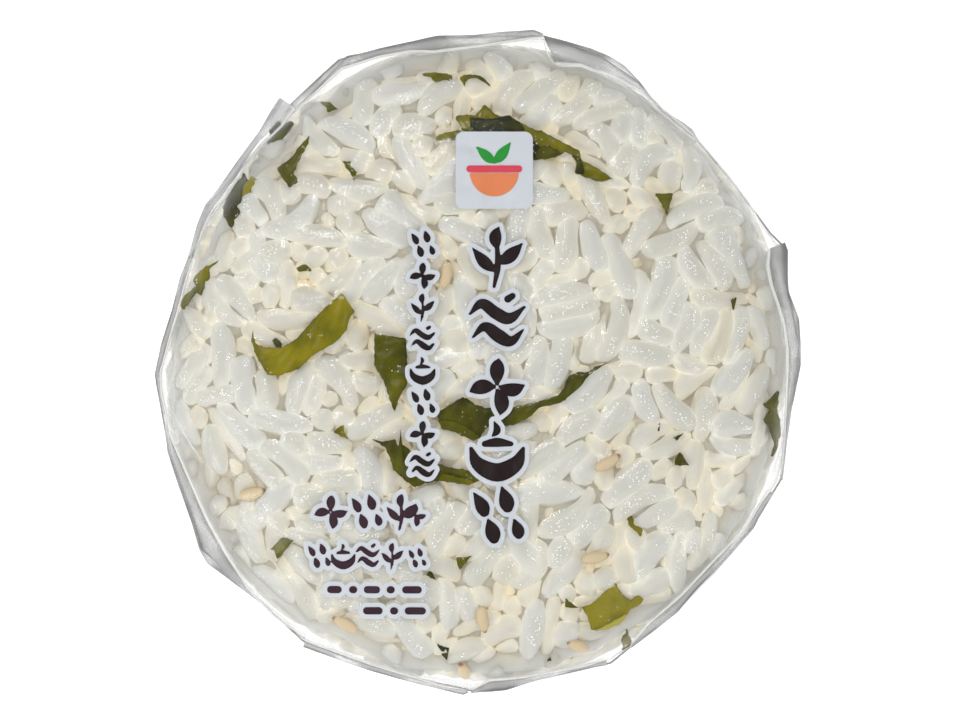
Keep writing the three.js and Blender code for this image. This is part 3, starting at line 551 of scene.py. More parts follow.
def pack_grains():
    """Packs grains against the hull, as rice pressed in a mould lies.

    Each grain is a straight row of four balls. In every round the rows are drawn out to the hull, balls
    that overlap push each other apart, those past the hull or a strip of seaweed are pushed in, and each
    row is made straight again. Cooked grains give, so they may overlap a little and press flat.
    """
    random = np.random.default_rng(RICE_SEED)
    tries = random.uniform([-41, -41, 1.5], [41, 41, THICKNESS - 1.3], (60000, 3))
    depth, _ = depth_in_rice(tries)
    centre = tries[(depth > 1.4) & (depth < SHELL_DEPTH)][:GRAIN_COUNT]
    count = len(centre)
    _, normal = depth_in_rice(centre)
    length = GRAIN_LENGTH * np.clip(random.normal(1.0, 0.11, count), 0.78, 1.22)
    broken = random.random(count) < 0.16
    length = np.where(broken, length * random.uniform(0.55, 0.75, count), length)
    radius = GRAIN_WIDTH / 2 * np.clip(random.normal(1.0, 0.08, count), 0.85, 1.2)
    axis = random.normal(size=(count, 3))
    slant = np.radians(55) + random.normal(0, 0.75, count)
    leaning = (centre[:, 0] > 2) & (centre[:, 2] > 20)
    axis[leaning] = np.stack([np.cos(slant), np.sin(slant), 0 * slant], axis=-1)[leaning]
    flatness = random.uniform(0.45, 0.95, count)[:, None]
    axis = unit(axis - flatness * normal * np.sum(axis * normal, axis=1, keepdims=True))
    deeper = random.random(count) < 0.45
    sunk = np.where(deeper, random.uniform(0.5, 1.9, count), random.uniform(0, 0.25, count))

    share = np.array([-1, -1 / 3, 1 / 3, 1])
    sunk = np.repeat(sunk, len(share))
    owner = np.repeat(np.arange(count), len(share))
    ball = np.repeat(radius, len(share)) * 0.78
    half = (length / 2 - radius * 0.9)[:, None, None]
    rounds = 170
    for turn in range(rounds):
        points = (centre[:, None, :] + share[None, :, None] * half * axis[:, None, :]).reshape(-1, 3)
        if turn % 8 == 0:
            first, second = close_pairs(points, owner, GRAIN_WIDTH + 0.8)
            held = np.maximum(cover_depth(points, 1.05) * 1.3, sunk)
        depth, normal = depth_in_rice(points)
        push = np.zeros_like(points)
        apart = points[first] - points[second]
        gap = np.maximum(np.linalg.norm(apart, axis=1), 1e-6)
        overlap = np.maximum(ball[first] + ball[second] - gap, 0)
        move = apart / gap[:, None] * (overlap * 0.5)[:, None]
        for column in range(3):
            push[:, column] = np.bincount(first, move[:, column], len(points))
            push[:, column] -= np.bincount(second, move[:, column], len(points))
        hits = np.bincount(first, overlap > 0, len(points)) + np.bincount(second, overlap > 0, len(points))
        push /= np.maximum(hits, 1)[:, None] * 0.75
        pull = 0.12 * (1 - turn / rounds) + 0.02
        push += normal * (np.clip(depth - ball - held, 0, 1.5) * pull)[:, None]
        points += push
        depth, normal = depth_in_rice(points)
        points -= normal * np.maximum(ball * 1.28 - PRESSED_FLAT + held - depth, 0)[:, None]
        points[:, 2] = np.maximum(points[:, 2], ball + 0.35)
        rows = points.reshape(count, len(share), 3)
        centre = rows.mean(axis=1)
        axis = unit(np.einsum("k,nkc->nc", share, rows - centre[:, None, :]))
    return centre, axis, length, radius


def grain_surface(centre, axis, length, radius, around, along, random):
    """Surfaces of all grains at once.

    Along a grain its half-width follows a blunt superellipse, a little thicker at one end; the grain
    bends to one side, its section is slightly flat and wavy, and what would pass the film is pressed flat.
    """
    count = len(centre)
    _, normal = depth_in_rice(centre)
    side = unit(np.cross(normal, axis), 1e-6)
    up = np.cross(axis, side)
    run = np.sin(np.linspace(-math.pi / 2, math.pi / 2, along + 2))[1:-1]
    turn = np.arange(around) / around * TURN
    blunt = random.uniform(2.3, 3.3, (count, 1, 1))
    width = (1 - np.abs(run)[None, :, None] ** blunt) ** (1 / blunt)
    taper = 1 + random.normal(0, 0.13, (count, 1, 1)) * run[None, :, None]
    wave = 1 + 0.08 * np.sin(2 * turn[None, None, :] + random.uniform(0, TURN, (count, 1, 1)))
    wave = wave + 0.07 * np.sin(3.5 * run[None, :, None] + random.uniform(0, TURN, (count, 1, 1)))
    wave = wave + random.normal(0, 0.045, (count, along, around))
    reach = radius[:, None, None] * width * taper * wave
    curve = run[None, :, None] ** 2 - 0.35
    bend = random.normal(0, 0.6, (count, 1, 1)) * (length / 8)[:, None, None]
    lift = random.normal(0, 0.15, (count, 1, 1))
    across = reach * np.cos(turn) * 1.04 + bend * curve
    raised = reach * np.sin(turn) * 0.94 + lift * curve
    ahead = (length / 2)[:, None, None] * run[None, :, None] + 0 * across
    shape = np.stack([ahead, across, raised], axis=-1).reshape(count, along * around, 3)
    points = placed(centre, axis, side, up, shape)
    tips = [
        centre + axis * (sign * length / 2)[:, None] + (side * bend[:, 0] + up * lift[:, 0]) * 0.65
        for sign in (-1, 1)
    ]
    points = np.concatenate([points, tips[0][:, None], tips[1][:, None]], axis=1)
    depth, outward = depth_in_rice(points)
    points = points - outward * np.maximum(0.08 - depth, 0)[..., None]
    points[..., 2] = np.maximum(points[..., 2], 0.15)
    return points


def grain_faces(count, around, along):
    """Faces of all grains: a wrapped grid each, with a fan at either end."""
    quads = grid_faces(along, around, True)[:, ::-1]
    body = along * around
    low = fan_faces(body, np.arange(around), True)
    high = fan_faces(body + 1, np.arange(around) + body - around, False)
    start = (np.arange(count) * (body + 2))[:, None, None]
    return [(quads[None] + start).reshape(-1, 4), (np.concatenate([low, high])[None] + start).reshape(-1, 3)]


def ridge_line(around, along):
    """1 along the outermost line of a grain, 0 on its flanks and tips, for the points of one grain."""
    ridge = np.zeros((along, around))
    ridge[1:-1, around // 4] = 1.0
    return np.concatenate([ridge.ravel(), [0, 0]])


def build_rice(grains):
    """Rice in three pieces, the shown face, the sides and the underside, with fewer faces out of sight."""
    centre, axis, length, radius = grains
    random = np.random.default_rng(RICE_SEED + 1)
    tint = random.random(len(centre))
    tan = random.random(len(centre))
    middle_depth, _ = depth_in_rice(centre)
    # How far each grain lies below the top layer, which sets how much painted warm shade it gets
    lowness = np.clip((middle_depth - radius * 0.9) / 1.6, 0, 1) * 0.8
    top = centre[:, 2] > WAIST_HEIGHT + 8
    low = centre[:, 2] < 6
    groups = {"rice_top": (top, 8, 7), "rice_side": (~top & ~low, 8, 6), "rice_under": (low & ~top, 8, 5)}
    pieces = []
    for name, (chosen, around, along) in groups.items():
        points = grain_surface(
            centre[chosen], axis[chosen], length[chosen], radius[chosen], around, along, random,
        )
        per_grain = points.shape[1]
        depth, _ = depth_in_rice(points)
        piece = new_mesh(
            name,
            points.reshape(-1, 3),
            grain_faces(int(chosen.sum()), around, along),
            "rice",
            tint=np.repeat(tint[chosen], per_grain),
            tan=np.repeat(tan[chosen], per_grain),
            ridge=np.tile(ridge_line(around, along), int(chosen.sum())),
            **depth_looks(depth.ravel(), np.repeat(lowness[chosen], per_grain)),
        )
        pieces.append(piece)
    return pieces


def depth_looks(depth, lowness):
    """Attributes that depth gives: painted warm shade of what lies low, painted shade of deep gaps, and
    crests near the film.
    """
    return {
        "painted_low_shade": np.clip(0.4 * lowness + np.clip((depth - 0.9) / 2.0, 0, 1) * 0.8, 0, 1),
        "painted_gap_shade": np.clip((depth - 2.0) / 1.8, 0, 1),
        "crest": np.clip((1.0 - depth) / 0.7, 0, 1) * (lowness < 0.5),
    }


def build_core(film_rest):
    """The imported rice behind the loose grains, with the soft paste that fills the gaps between them.

    Its skin lies in from the film by the depth to the rice, evened out over a millimetre, plus a little:
    so it stays inside every grain and shows only between them. Round the rim it comes nearly up to the
    film, where the pressed rice blurs into one milky band. It is flat below.
    """
    grid_angle, _, points, normal, gap, covered = film_rest
    smooth_gap = smooth_grid(np.minimum(gap, 2.6), 8)
    share = np.hypot(points[..., 0], points[..., 1]) / soft_radius(grid_angle)
    rim = np.clip((share - 0.92) / 0.05, 0, 1) * np.clip((points[..., 2] - WAIST_HEIGHT - 6.5) / 3, 0, 1)
    filled = (smooth_gap + 0.7) * (1 - rim) + (0.5 * smooth_gap + 0.3) * rim
    filled = np.maximum(filled, covered * 1.2 + 0.3)
    points = points - normal * filled[..., None]
    points[..., 2] = np.maximum(points[..., 2], 1.2)
    flat, faces = closed_skin(points)
    depth, _ = depth_in_rice(flat)
    even = np.full(len(flat), 0.5)
    # The paste takes the painted warm shade of low rice everywhere but round the rim, and the painted shade
    # of deep gaps
    lowness = 2 * (1 - np.append(rim.ravel(), [0, 0]))
    looks = depth_looks(depth, lowness)
    return new_mesh("rice_core", flat, faces, "rice", tint=even, tan=even, ridge=0 * even, **looks)


# Seaweed and sesame

def build_leaf(name, looks, phase, waviness):
    """One strip of seaweed just under the film, between its two measured edges.

    The strip is ruled from edge to edge, its edges have a slight tremor, and it waves in height. Both of
    its faces and its rim are closed.
    """
    depth, shade, first, second = looks
    edges = [first, first[:2] + second + first[-2:]]
    steps = max(8, int(max(line_length(edge) for edge in edges) / LEAF_STEP))
    first, second = facing_up(*[along_line(edge, steps) for edge in edges])
    spot, share = ruled(first, second, 9)
    run = np.arange(steps)[:, None] * LEAF_STEP
    tremor = 0.05 * np.sin(run * 5.1 + phase) + 0.04 * np.sin(run * 9.7 + phase * 2)
    across = unit(second - first, 0.3)
    spot = spot + across[:, None, :] * (tremor * (share - 0.5) * 2)[..., None]
    wave = 0.12 * np.sin(run * 1.3 + share * 4 + phase) + 0.06 * np.sin(run * 2.9 - share * 7)
    reach = np.hypot(spot[..., 0], spot[..., 1])
    limit = rice_radius(np.arctan2(spot[..., 1], spot[..., 0])) + 0.3
    spot = spot * np.minimum(limit / np.maximum(reach, 1e-6), 1)[..., None]
    upper, normal = under_film(spot[..., 0], spot[..., 1], depth + wave * waviness)
    edge = np.tile(np.abs(share * 2 - 1), (2 * steps, 1))
    ends = np.minimum(run, run[-1] - run) / max(run[-1, 0], 1e-6) * 2
    edge = np.maximum(edge, np.tile(1 - np.clip(ends * 3, 0, 1), (2, 1)))
    lower = upper - normal * LEAF_THICKNESS
    return new_sheet(name, upper, lower, "wakame", edge=edge.ravel(), shade=np.full(edge.size, shade))


def build_leaves():
    """All strips of seaweed: those that stand for solids, then the layers over, under and between them."""
    pieces = []
    for number, (name, looks) in enumerate(LEAVES.items()):
        leaf = build_leaf(name + "_leaf", looks, number * 1.37, 0.8)
        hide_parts(name)
        pieces.append(leaf)
    for number, (name, looks) in enumerate(LEAF_LAYERS.items()):
        pieces.append(build_leaf("leaf_" + name, looks, number * 2.1, 0.25))
    return pieces


def build_seeds():
    """Sesame seeds: drop shapes, pointed at one end, pressed slightly flat, lying just under the film."""
    around, along = 12, 9
    run = np.sin(np.linspace(-math.pi / 2, math.pi / 2, along + 2))[1:-1]
    turn = np.arange(around) / around * TURN
    point_end = 1 - 0.4 * np.clip(run, 0, 1) ** 1.5
    width = (1 - np.abs(run) ** 2.3) ** (1 / 2.3) * point_end
    x = run[:, None] * SEED_SIZE[0] / 2 + 0 * turn[None, :]
    y = width[:, None] * np.cos(turn)[None, :] * SEED_SIZE[1] / 2 + 0.12 * run[:, None] ** 2
    z = width[:, None] * np.sin(turn)[None, :] * SEED_SIZE[2] / 2
    shape = np.stack([x, y, z], axis=-1).reshape(-1, 3)
    tips = np.array([[-SEED_SIZE[0] / 2, 0.12, 0], [SEED_SIZE[0] / 2, 0.12, 0]])
    shape = np.concatenate([shape, tips])
    heading = np.radians(SEED_PLACES[:, 2])
    reach = np.hypot(SEED_PLACES[:, 0], SEED_PLACES[:, 1])
    limit = rice_radius(np.arctan2(SEED_PLACES[:, 1], SEED_PLACES[:, 0])) - 0.5
    place = SEED_PLACES[:, :2] * np.minimum(limit / reach, 1)[:, None]
    centre, normal = under_film(place[:, 0], place[:, 1], np.full(len(place), 0.72))
    forward = np.stack([np.cos(heading), np.sin(heading), 0 * heading], axis=-1)
    forward = unit(forward - normal * np.sum(forward * normal, axis=1, keepdims=True))
    points = placed(centre, forward, np.cross(normal, forward), normal, shape[None])
    ahead = np.tile(shape[:, 0] / SEED_SIZE[0] + 0.5, (len(place), 1))
    faces = grain_faces(len(place), around, along)
    return new_mesh("sesame_seeds", points.reshape(-1, 3), faces, "sesame", ahead=ahead.ravel())


# Film

def film_columns(per_degree):
    """Angles round the film, with one exactly at every corner of its outline."""
    degrees = FILM_CORNERS[:, 0]
    following = np.append(degrees[1:], degrees[0] + 360)
    parts = []
    for start, end in zip(degrees, following):
        steps = max(3, int(round((end - start) * per_degree)))
        parts.append(start + (end - start) * np.arange(steps) / steps)
    return np.radians(np.concatenate(parts))


def rice_below(points, normals, grains):
    """Depth from film points straight in to the nearest rice, each grain taken as a row of seven balls."""
    centre, axis, length, radius = grains
    depth, _ = depth_in_rice(centre)
    outer = depth < 4
    share = np.linspace(-1, 1, 7)
    half = (length / 2 - radius)[outer]
    balls = centre[outer][:, None, :] + axis[outer][:, None, :] * (share[None, :] * half[:, None])[..., None]
    balls = balls.reshape(-1, 3).astype(np.float32)
    size = np.repeat(radius[outer], len(share)).astype(np.float32)
    points = points.astype(np.float32)
    normals = normals.astype(np.float32)
    found = np.full(len(points), 3.0, np.float32)
    block = 1500
    for start in range(0, len(points), block):
        part = slice(start, start + block)
        low = points[part].min(axis=0) - 4
        high = points[part].max(axis=0) + 4
        near = np.all((balls > low) & (balls < high), axis=1)
        apart = balls[None, near, :] - points[part, None, :]
        inward = -np.sum(apart * normals[part, None, :], axis=-1)
        sideways = np.sum(apart * apart, axis=-1) - inward * inward
        inside = size[near][None, :] ** 2 - sideways
        reach = np.where(inside > 0, inward - np.sqrt(np.maximum(inside, 0)), 3.0)
        found[part] = np.minimum(reach.min(axis=1), 3.0)
    return found


def smooth_grid(values, rounds):
    """Evens out a grid of values, wrapped sideways, with each point's four neighbours."""
    for _ in range(rounds):
        above = np.concatenate([values[:1], values[:-1]])
        below = np.concatenate([values[1:], values[-1:]])
        values = (values * 2 + np.roll(values, 1, 1) + np.roll(values, -1, 1) + above + below) / 6
    return values


FILM_ANGLES = film_columns(1.25)
ARC = np.linspace(0, math.pi / 2, 400)
ARC_STEPS = np.linalg.norm(np.diff(film_points(np.zeros_like(ARC), ARC), axis=0), axis=1)
ARC_LENGTHS = np.concatenate([[0], np.cumsum(ARC_STEPS)])
TOP_FALLS = np.interp(np.linspace(0, 1, 120)[1:] * ARC_LENGTHS[-1], ARC_LENGTHS, ARC)
FOOT_FALL = math.asin((WAIST_HEIGHT / FOOT_DEPTH) ** (FOOT_POWER / 2))


def film_at_rest(grains):
    """The film before it sinks: its grid, outward normals, depth in to the rice, and what is covered."""
    falls = np.concatenate([TOP_FALLS, math.pi / 2 + np.linspace(0, 1, 41)[1:] * FOOT_FALL])
    grid_angle, grid_fall = np.meshgrid(FILM_ANGLES, falls)
    points = film_points(grid_angle, grid_fall)
    across = np.roll(points, -1, 1) - np.roll(points, 1, 1)
    down = np.gradient(points, axis=0)
    normal = unit(np.cross(down, across))
    gap = rice_below(points.reshape(-1, 3), normal.reshape(-1, 3), grains).reshape(grid_fall.shape)
    covered = np.clip(np.stack([cover_depth(row, 0.4) for row in points]), 0, 1)
    return grid_angle, grid_fall, points, normal, gap, covered


def film_grid(film_rest):
    """Points of the film, and how far each has sunk between the grains below it.

    Each point of the top sinks by a share of the depth to the rice, evened out so that it spans small
    gaps, and hardly at all over seaweed and sesame. Below the waist the film pleats in towards the foot.
    """
    grid_angle, grid_fall, points, normal, gap, covered = film_rest
    upper = np.clip((points[..., 2] - WAIST_HEIGHT - 5) / 5, 0, 1)
    spare = np.maximum(gap - 0.06, 0)
    deepest = 0.4 - 0.36 * covered
    sag = smooth_grid(np.minimum(spare * 0.5, deepest) * upper, 2)
    sag = smooth_grid(np.minimum(np.minimum(sag, spare + 0.02), deepest + 0.04), 1)
    points = points - normal * sag[..., None]

    below = np.clip((grid_fall - math.pi / 2) / FOOT_FALL, 0, 1)
    turned = np.mod(grid_angle[..., None] - np.radians(FILM_CORNERS[:, 0]) + math.pi, TURN) - math.pi
    nearest = np.min(np.abs(turned), axis=-1)
    pleat = 0.55 * np.sin(below * math.pi * 0.85) * (np.cos(nearest * 28) - 1) / 2
    points[..., 0] += pleat * np.cos(grid_angle)
    points[..., 1] += pleat * np.sin(grid_angle)
    points[-1, :, 2] = 0.0
    return points, sag


def build_film(points):
    """The clear film as one closed skin: the worked-out grid, a flat foot, and a point at the top."""
    foot = points[-1] * np.array([0.66, 0.33])[:, None, None]
    film = new_mesh("film_wrap", *closed_skin(np.concatenate([points, foot])), "film")
    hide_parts("wrapped_rice")
    return film


def sag_at(x, y, sag):
    """How far the film has sunk over plan points, read between the four nearest points of its grid."""
    angle = np.mod(np.arctan2(y, x) - FILM_ANGLES[0], TURN) + FILM_ANGLES[0]
    share = np.clip(np.hypot(x, y) / soft_radius(angle), 0, 0.99)
    row = np.interp(np.arcsin(share ** (SHOULDER_POWER / 2)), TOP_FALLS, np.arange(len(TOP_FALLS)))
    ring = np.append(FILM_ANGLES, FILM_ANGLES[0] + TURN)
    column = np.interp(angle, ring, np.arange(len(ring)))
    row_start = np.minimum(row.astype(int), len(TOP_FALLS) - 2)
    column_start = np.minimum(column.astype(int), len(FILM_ANGLES) - 1)
    row_part, column_part = row - row_start, column - column_start
    column_end = (column_start + 1) % len(FILM_ANGLES)
    upper, lower = [
        sag[line, column_start] * (1 - column_part) + sag[line, column_end] * column_part
        for line in (row_start, row_start + 1)
    ]
    return upper * (1 - row_part) + lower * row_part


def build_fold(name, edges, arch, phase):
    """A fold of spare film along the rim, ruled from its inner edge on the shoulder to its outer edge.

    The inner edge lies on the film. The outer edge hangs a few millimetres lower, and the sheet between
    them waves, has soft ridges along its length, and can arch up into a roll.
    """
    steps = max(10, int(line_length(edges[0]) / FOLD_STEP))
    outer, inner = [along_line(edge, steps) for edge in edges]
    first, second = facing_up(outer, inner)
    spot, share = ruled(first, second, 17)
    run = np.arange(steps)[:, None] * FOLD_STEP
    start = film_height(inner[:, 0], inner[:, 1])[:, None] + 0.12
    out = (share if first is inner else 1 - share)[None, :]
    width = np.hypot(*(outer - inner).T)[:, None]
    bulge = np.sin(out * math.pi)
    wave = 0.18 * np.sin(run * 0.7 + phase) * bulge + 0.05 * np.sin(run * 2.1 + phase * 2) * out
    ridges = 0.03 * np.sin(out * 11 + 1.5 * np.sin(run * 0.35 + phase)) * bulge
    height = start - (1.1 * width + 0.5) * out + arch * bulge + wave + ridges
    upper = np.concatenate([spot, height[..., None]], axis=-1)
    spread = np.tile(out, (2 * steps, 1))
    return new_sheet(name, upper, upper - np.array([0, 0, FOLD_THICKNESS]), "film", out=spread.ravel())


def rib_points(line, heights, width, rise):
    """A thin raised line: seven points across in a low arch, tapering at both ends."""
    heading = unit(np.gradient(line, axis=0), 1e-6)
    side = np.stack([-heading[:, 1], heading[:, 0]], axis=-1)
    steps = len(line)
    taper = np.clip(np.minimum(np.arange(steps), np.arange(steps)[::-1]) / 6 + 0.15, 0, 1)
    share = np.linspace(-1, 1, 7)
    offset = share[None, :] * (width / 2 * taper)[:, None]
    spot = line[:, None, :] + side[:, None, :] * offset[..., None]
    lifted = heights[:, None] + rise * taper[:, None] * (1 - share[None, :] ** 2)
    upper = np.concatenate([spot, lifted[..., None]], axis=-1)
    lower = np.concatenate([spot, (heights[:, None] - 0.04 + 0 * lifted)[..., None]], axis=-1)
    return np.concatenate([upper.reshape(-1, 3), lower.reshape(-1, 3)])


def build_ribs(name, lines, width, rise, lowered):
    """Creases and folded edges of the film, all in one piece of thin raised lines."""
    points, faces, start = [], [], 0
    for line in lines:
        steps = max(8, int(line_length(line) / 0.4))
        spots = along_line(line, steps)
        heights = film_height(spots[:, 0], spots[:, 1]) + 0.14 - lowered
        rib = rib_points(spots, heights, width, rise)
        faces.append([part + start for part in sheet_faces(steps, 7)])
        points.append(rib)
        start += len(rib)
    merged = [np.concatenate([part[number] for part in faces]) for number in range(3)]
    return new_mesh(name, np.concatenate(points), merged, "film")


# Print

def stroke_distance(x, y, stroke):
    """Signed distance to a brush stroke: a curve through its points whose half-width changes along it."""
    stroke = np.reshape(stroke, (-1, 3))
    marks = np.arange(len(stroke))
    fine = np.linspace(0, len(stroke) - 1, 6 * (len(stroke) - 1) + 1)
    padded = np.vstack([2 * stroke[0] - stroke[1], stroke, 2 * stroke[-1] - stroke[-2]])
    piece = np.minimum(fine.astype(int), len(stroke) - 2)
    part = (fine - marks[piece])[:, None]
    a, b, c, d = padded[piece], padded[piece + 1], padded[piece + 2], padded[piece + 3]
    bend, twist = 2 * a - 5 * b + 4 * c - d, 3 * b - a - 3 * c + d
    curve = 0.5 * (2 * b + (c - a) * part + bend * part ** 2 + twist * part ** 3)
    nearest = np.full(x.shape, 1e3)
    for start, end in zip(curve[:-1], curve[1:]):
        span = end[:2] - start[:2]
        reach = max(span @ span, 1e-9)
        share = np.clip(((x - start[0]) * span[0] + (y - start[1]) * span[1]) / reach, 0, 1)
        away = np.hypot(x - start[0] - share * span[0], y - start[1] - share * span[1])
        nearest = np.minimum(nearest, away - (start[2] + (end[2] - start[2]) * share))
    return nearest


def box_distance(x, y, middle_x, middle_y, half_x, half_y, corner):
    """Signed distance to a rectangle with round corners."""
    over_x = np.abs(x - middle_x) - half_x + corner
    over_y = np.abs(y - middle_y) - half_y + corner
    outside = np.hypot(np.maximum(over_x, 0), np.maximum(over_y, 0))
    return outside + np.minimum(np.maximum(over_x, over_y), 0) - corner


def motif_distance(x, y, rows):
    """Signed distance to the nearest motif of some rows of motifs."""
    nearest = np.full(x.shape, 1e3)
    for kinds, start, step, size in rows:
        for number, kind in enumerate(kinds.split()):
            middle_x, middle_y = start[0] + number * step[0], start[1] + number * step[1]
            near = (np.abs(x - middle_x) < size * 1.7) & (np.abs(y - middle_y) < size * 1.7)
            local_x, local_y = (x[near] - middle_x) / size, (y[near] - middle_y) / size
            for stroke in MOTIFS[kind]:
                nearest[near] = np.minimum(nearest[near], stroke_distance(local_x, local_y, stroke) * size)
    return nearest


def column_distance(x, y):
    """Signed distance to the two columns of motifs."""
    return motif_distance(x, y, COLUMN_ROWS)


def block_distance(x, y):
    """Signed distance to the block of small motifs and dashes."""
    nearest = motif_distance(x, y, BLOCK_ROWS)
    for middle_x, middle_y, half in DASHES:
        dash = box_distance(x, y, middle_x, middle_y, half, DASH_HALF_HEIGHT, DASH_HALF_HEIGHT)
        nearest = np.minimum(nearest, dash)
    return nearest


def ground_distance(x, y):
    """Signed distance to the white ground, a margin round all motifs and dashes."""
    return np.minimum(column_distance(x, y), block_distance(x, y)) - HALO


def badge_plate(x, y):
    return box_distance(x, y, BADGE_X, BADGE_Y, BADGE_HALF, BADGE_HALF, 1.0)


def badge_bowl(x, y):
    return np.maximum(np.hypot(x - BADGE_X, y - BADGE_Y + 0.2) - 3.0, y - BADGE_Y + 0.35)


def badge_band(x, y):
    return box_distance(x, y, BADGE_X, BADGE_Y + 0.15, 3.4, 0.42, 0.4)


def badge_leaves(x, y):
    left = stroke_distance(x - BADGE_X, y - BADGE_Y, [0, 0.9, 0.12, -0.9, 1.7, 0.62, -2.2, 2.9, 0.05])
    right = stroke_distance(x - BADGE_X, y - BADGE_Y, [0, 0.9, 0.12, 0.9, 1.9, 0.66, 2, 3.4, 0.05])
    return np.minimum(left, right)


def build_print(name, distance, box, lifted, sag):
    """A printed shape on the film: the grid cells inside its contour, their outer points moved onto it."""
    x_marks = np.arange(box[0], box[2], PRINT_GRID)
    y_marks = np.arange(box[1], box[3], PRINT_GRID)
    y, x = np.meshgrid(y_marks, x_marks)
    away = distance(x, y)
    inside = (away[:-1, :-1] + away[1:, :-1] + away[1:, 1:] + away[:-1, 1:]) / 4 < 0
    index = np.arange(x.size).reshape(x.shape)
    quads = np.stack([index[:-1, :-1], index[1:, :-1], index[1:, 1:], index[:-1, 1:]], axis=-1)[inside]
    inner_hits = np.bincount(quads.ravel(), minlength=x.size)
    border = (inner_hits > 0) & (inner_hits < 4)
    slope_x, slope_y = np.gradient(away, PRINT_GRID)
    steepness = np.maximum(slope_x ** 2 + slope_y ** 2, 0.25)
    step = np.clip(away, -0.75 * PRINT_GRID, 0.75 * PRINT_GRID) / steepness
    moved_x = np.where(border, (x - step * slope_x).ravel(), x.ravel())
    moved_y = np.where(border, (y - step * slope_y).ravel(), y.ravel())
    used, faces = np.unique(quads, return_inverse=True)
    moved_x, moved_y = moved_x[used], moved_y[used]
    height = film_height(moved_x, moved_y) - sag_at(moved_x, moved_y, sag) + lifted
    points = np.stack([moved_x, moved_y, height], axis=-1)
    return new_mesh(name, points, [faces.reshape(-1, 4)], "print")


def build_prints(sag):
    """All print, in layers: white grounds, then dark motifs and bars, then the badge's colours."""
    colours = {
        "white": (226, 231, 238), "dark": (38, 26, 28), "plum": (62, 40, 50),
        "orange": (246, 146, 98), "coral": (236, 78, 98), "green": (48, 160, 62),
    }
    inks = {ink: ink_material("print_" + ink, srgb(*colour)) for ink, colour in colours.items()}
    whole = (-23.0, -33.0, 8.5, 18.5)
    badge = (BADGE_X - 5.2, BADGE_Y - 5.2, BADGE_X + 5.2, BADGE_Y + 5.2)
    layers = [
        ("print_ground", ground_distance, whole, 0.07, "white"),
        ("print_columns", column_distance, whole, 0.12, "dark"),
        ("print_block", block_distance, (-23.0, -33.0, -4.0, -14.0), 0.12, "plum"),
        ("badge_plate", badge_plate, badge, 0.09, "white"),
        ("badge_bowl", badge_bowl, badge, 0.14, "orange"),
        ("badge_band", badge_band, badge, 0.17, "coral"),
        ("badge_leaves", badge_leaves, badge, 0.14, "green"),
    ]
    for name, distance, box, lifted, ink in layers:
        paint(build_print(name, distance, box, lifted, sag), inks[ink])


# Materials

WHITE = (1, 1, 1, 1)

# A fold's look along its width, from its inner to its free edge: position, grey, and how much it covers. The
# white line inside is a painted highlight, the dark grey beside it painted shade, and the dark free edge a
# painted dark outline
FOLD_LOOKS = [
    (0.0, 0.95, 0.85), (0.1, 0.9, 0.75), (0.16, 0.26, 0.55), (0.4, 0.4, 0.55), (0.62, 0.4, 0.6),
    (0.82, 0.14, 0.7), (1.0, 0.06, 0.85),
]


def feed(tree, target, value):
    """Gives an input its value, or links it to the output that feeds it."""
    if isinstance(value, bpy.types.NodeSocket):
        tree.links.new(value, target)
    else:
        target.default_value = value


def node(tree, kind, inputs=None, **settings):
    """A shader node with its settings, such as operation, and with values or outputs for its inputs."""
    made = tree.nodes.new("ShaderNode" + kind)
    for name, value in settings.items():
        setattr(made, name, value)
    for name, value in (inputs or {}).items():
        feed(tree, made.inputs[name], value)
    return made


def attribute(tree, name):
    return node(tree, "Attribute", attribute_name=name).outputs["Fac"]


def maths(tree, operation, *values):
    """The result of an operation on values or outputs, in their order."""
    made = node(tree, "Math", operation=operation)
    for target, value in zip(made.inputs, values):
        feed(tree, target, value)
    return made.outputs["Value"]


def mix(tree, share, first, second, blend="MIX"):
    """A colour on the way from one to another, by a share."""
    inputs = {"Factor": share, "A": first, "B": second}
    return node(tree, "Mix", inputs, data_type="RGBA", blend_type=blend).outputs["Result"]


def ramp_range(tree, value, low, high, start, end):
    """Maps a range of values to another, held at its ends."""
    inputs = {"Value": value, "From Min": low, "From Max": high, "To Min": start, "To Max": end}
    return node(tree, "MapRange", inputs).outputs["Result"]


def ramp_along(tree, value, stops):
    """A colour ramp from a list of positions and colours."""
    ramp = node(tree, "ValToRGB", {"Fac": value})
    ends = ramp.color_ramp.elements
    for position, _ in stops[1:-1]:
        ends.new(position)
    for part, (position, colour) in zip(ends, stops):
        part.position = position
        part.color = colour
    return ramp.outputs["Color"]


def use_group(tree, name, **values):
    """Places a group in a material, with values or outputs for its inputs; gives its outputs."""
    made = node(tree, "Group", node_tree=bpy.data.node_groups[name], name=name)
    for label, value in values.items():
        feed(tree, made.inputs[label], value)
    return made.outputs


def srgb(red, green, blue):
    """A colour read off a screen, as the linear values that shaders take."""
    channels = np.array([red, green, blue]) / 255
    linear = np.where(channels <= 0.04045, channels / 12.92, ((channels + 0.055) / 1.055) ** 2.4)
    return (*linear.tolist(), 1.0)


def film_grey(level):
    """A grey with a touch of yellow, as thin film has."""
    return (level, level, level * 0.98, 1)


def start_material(name):
    material = bpy.data.materials.new(name)
    material.use_nodes = True
    material.node_tree.nodes.clear()
    material.cycles.emission_sampling = "NONE"
    return material, material.node_tree


def end_material(material, shader):
    """Joins the last shader node to the material's output."""
    node(material.node_tree, "OutputMaterial", {"Surface": shader.outputs[0]})
    return material


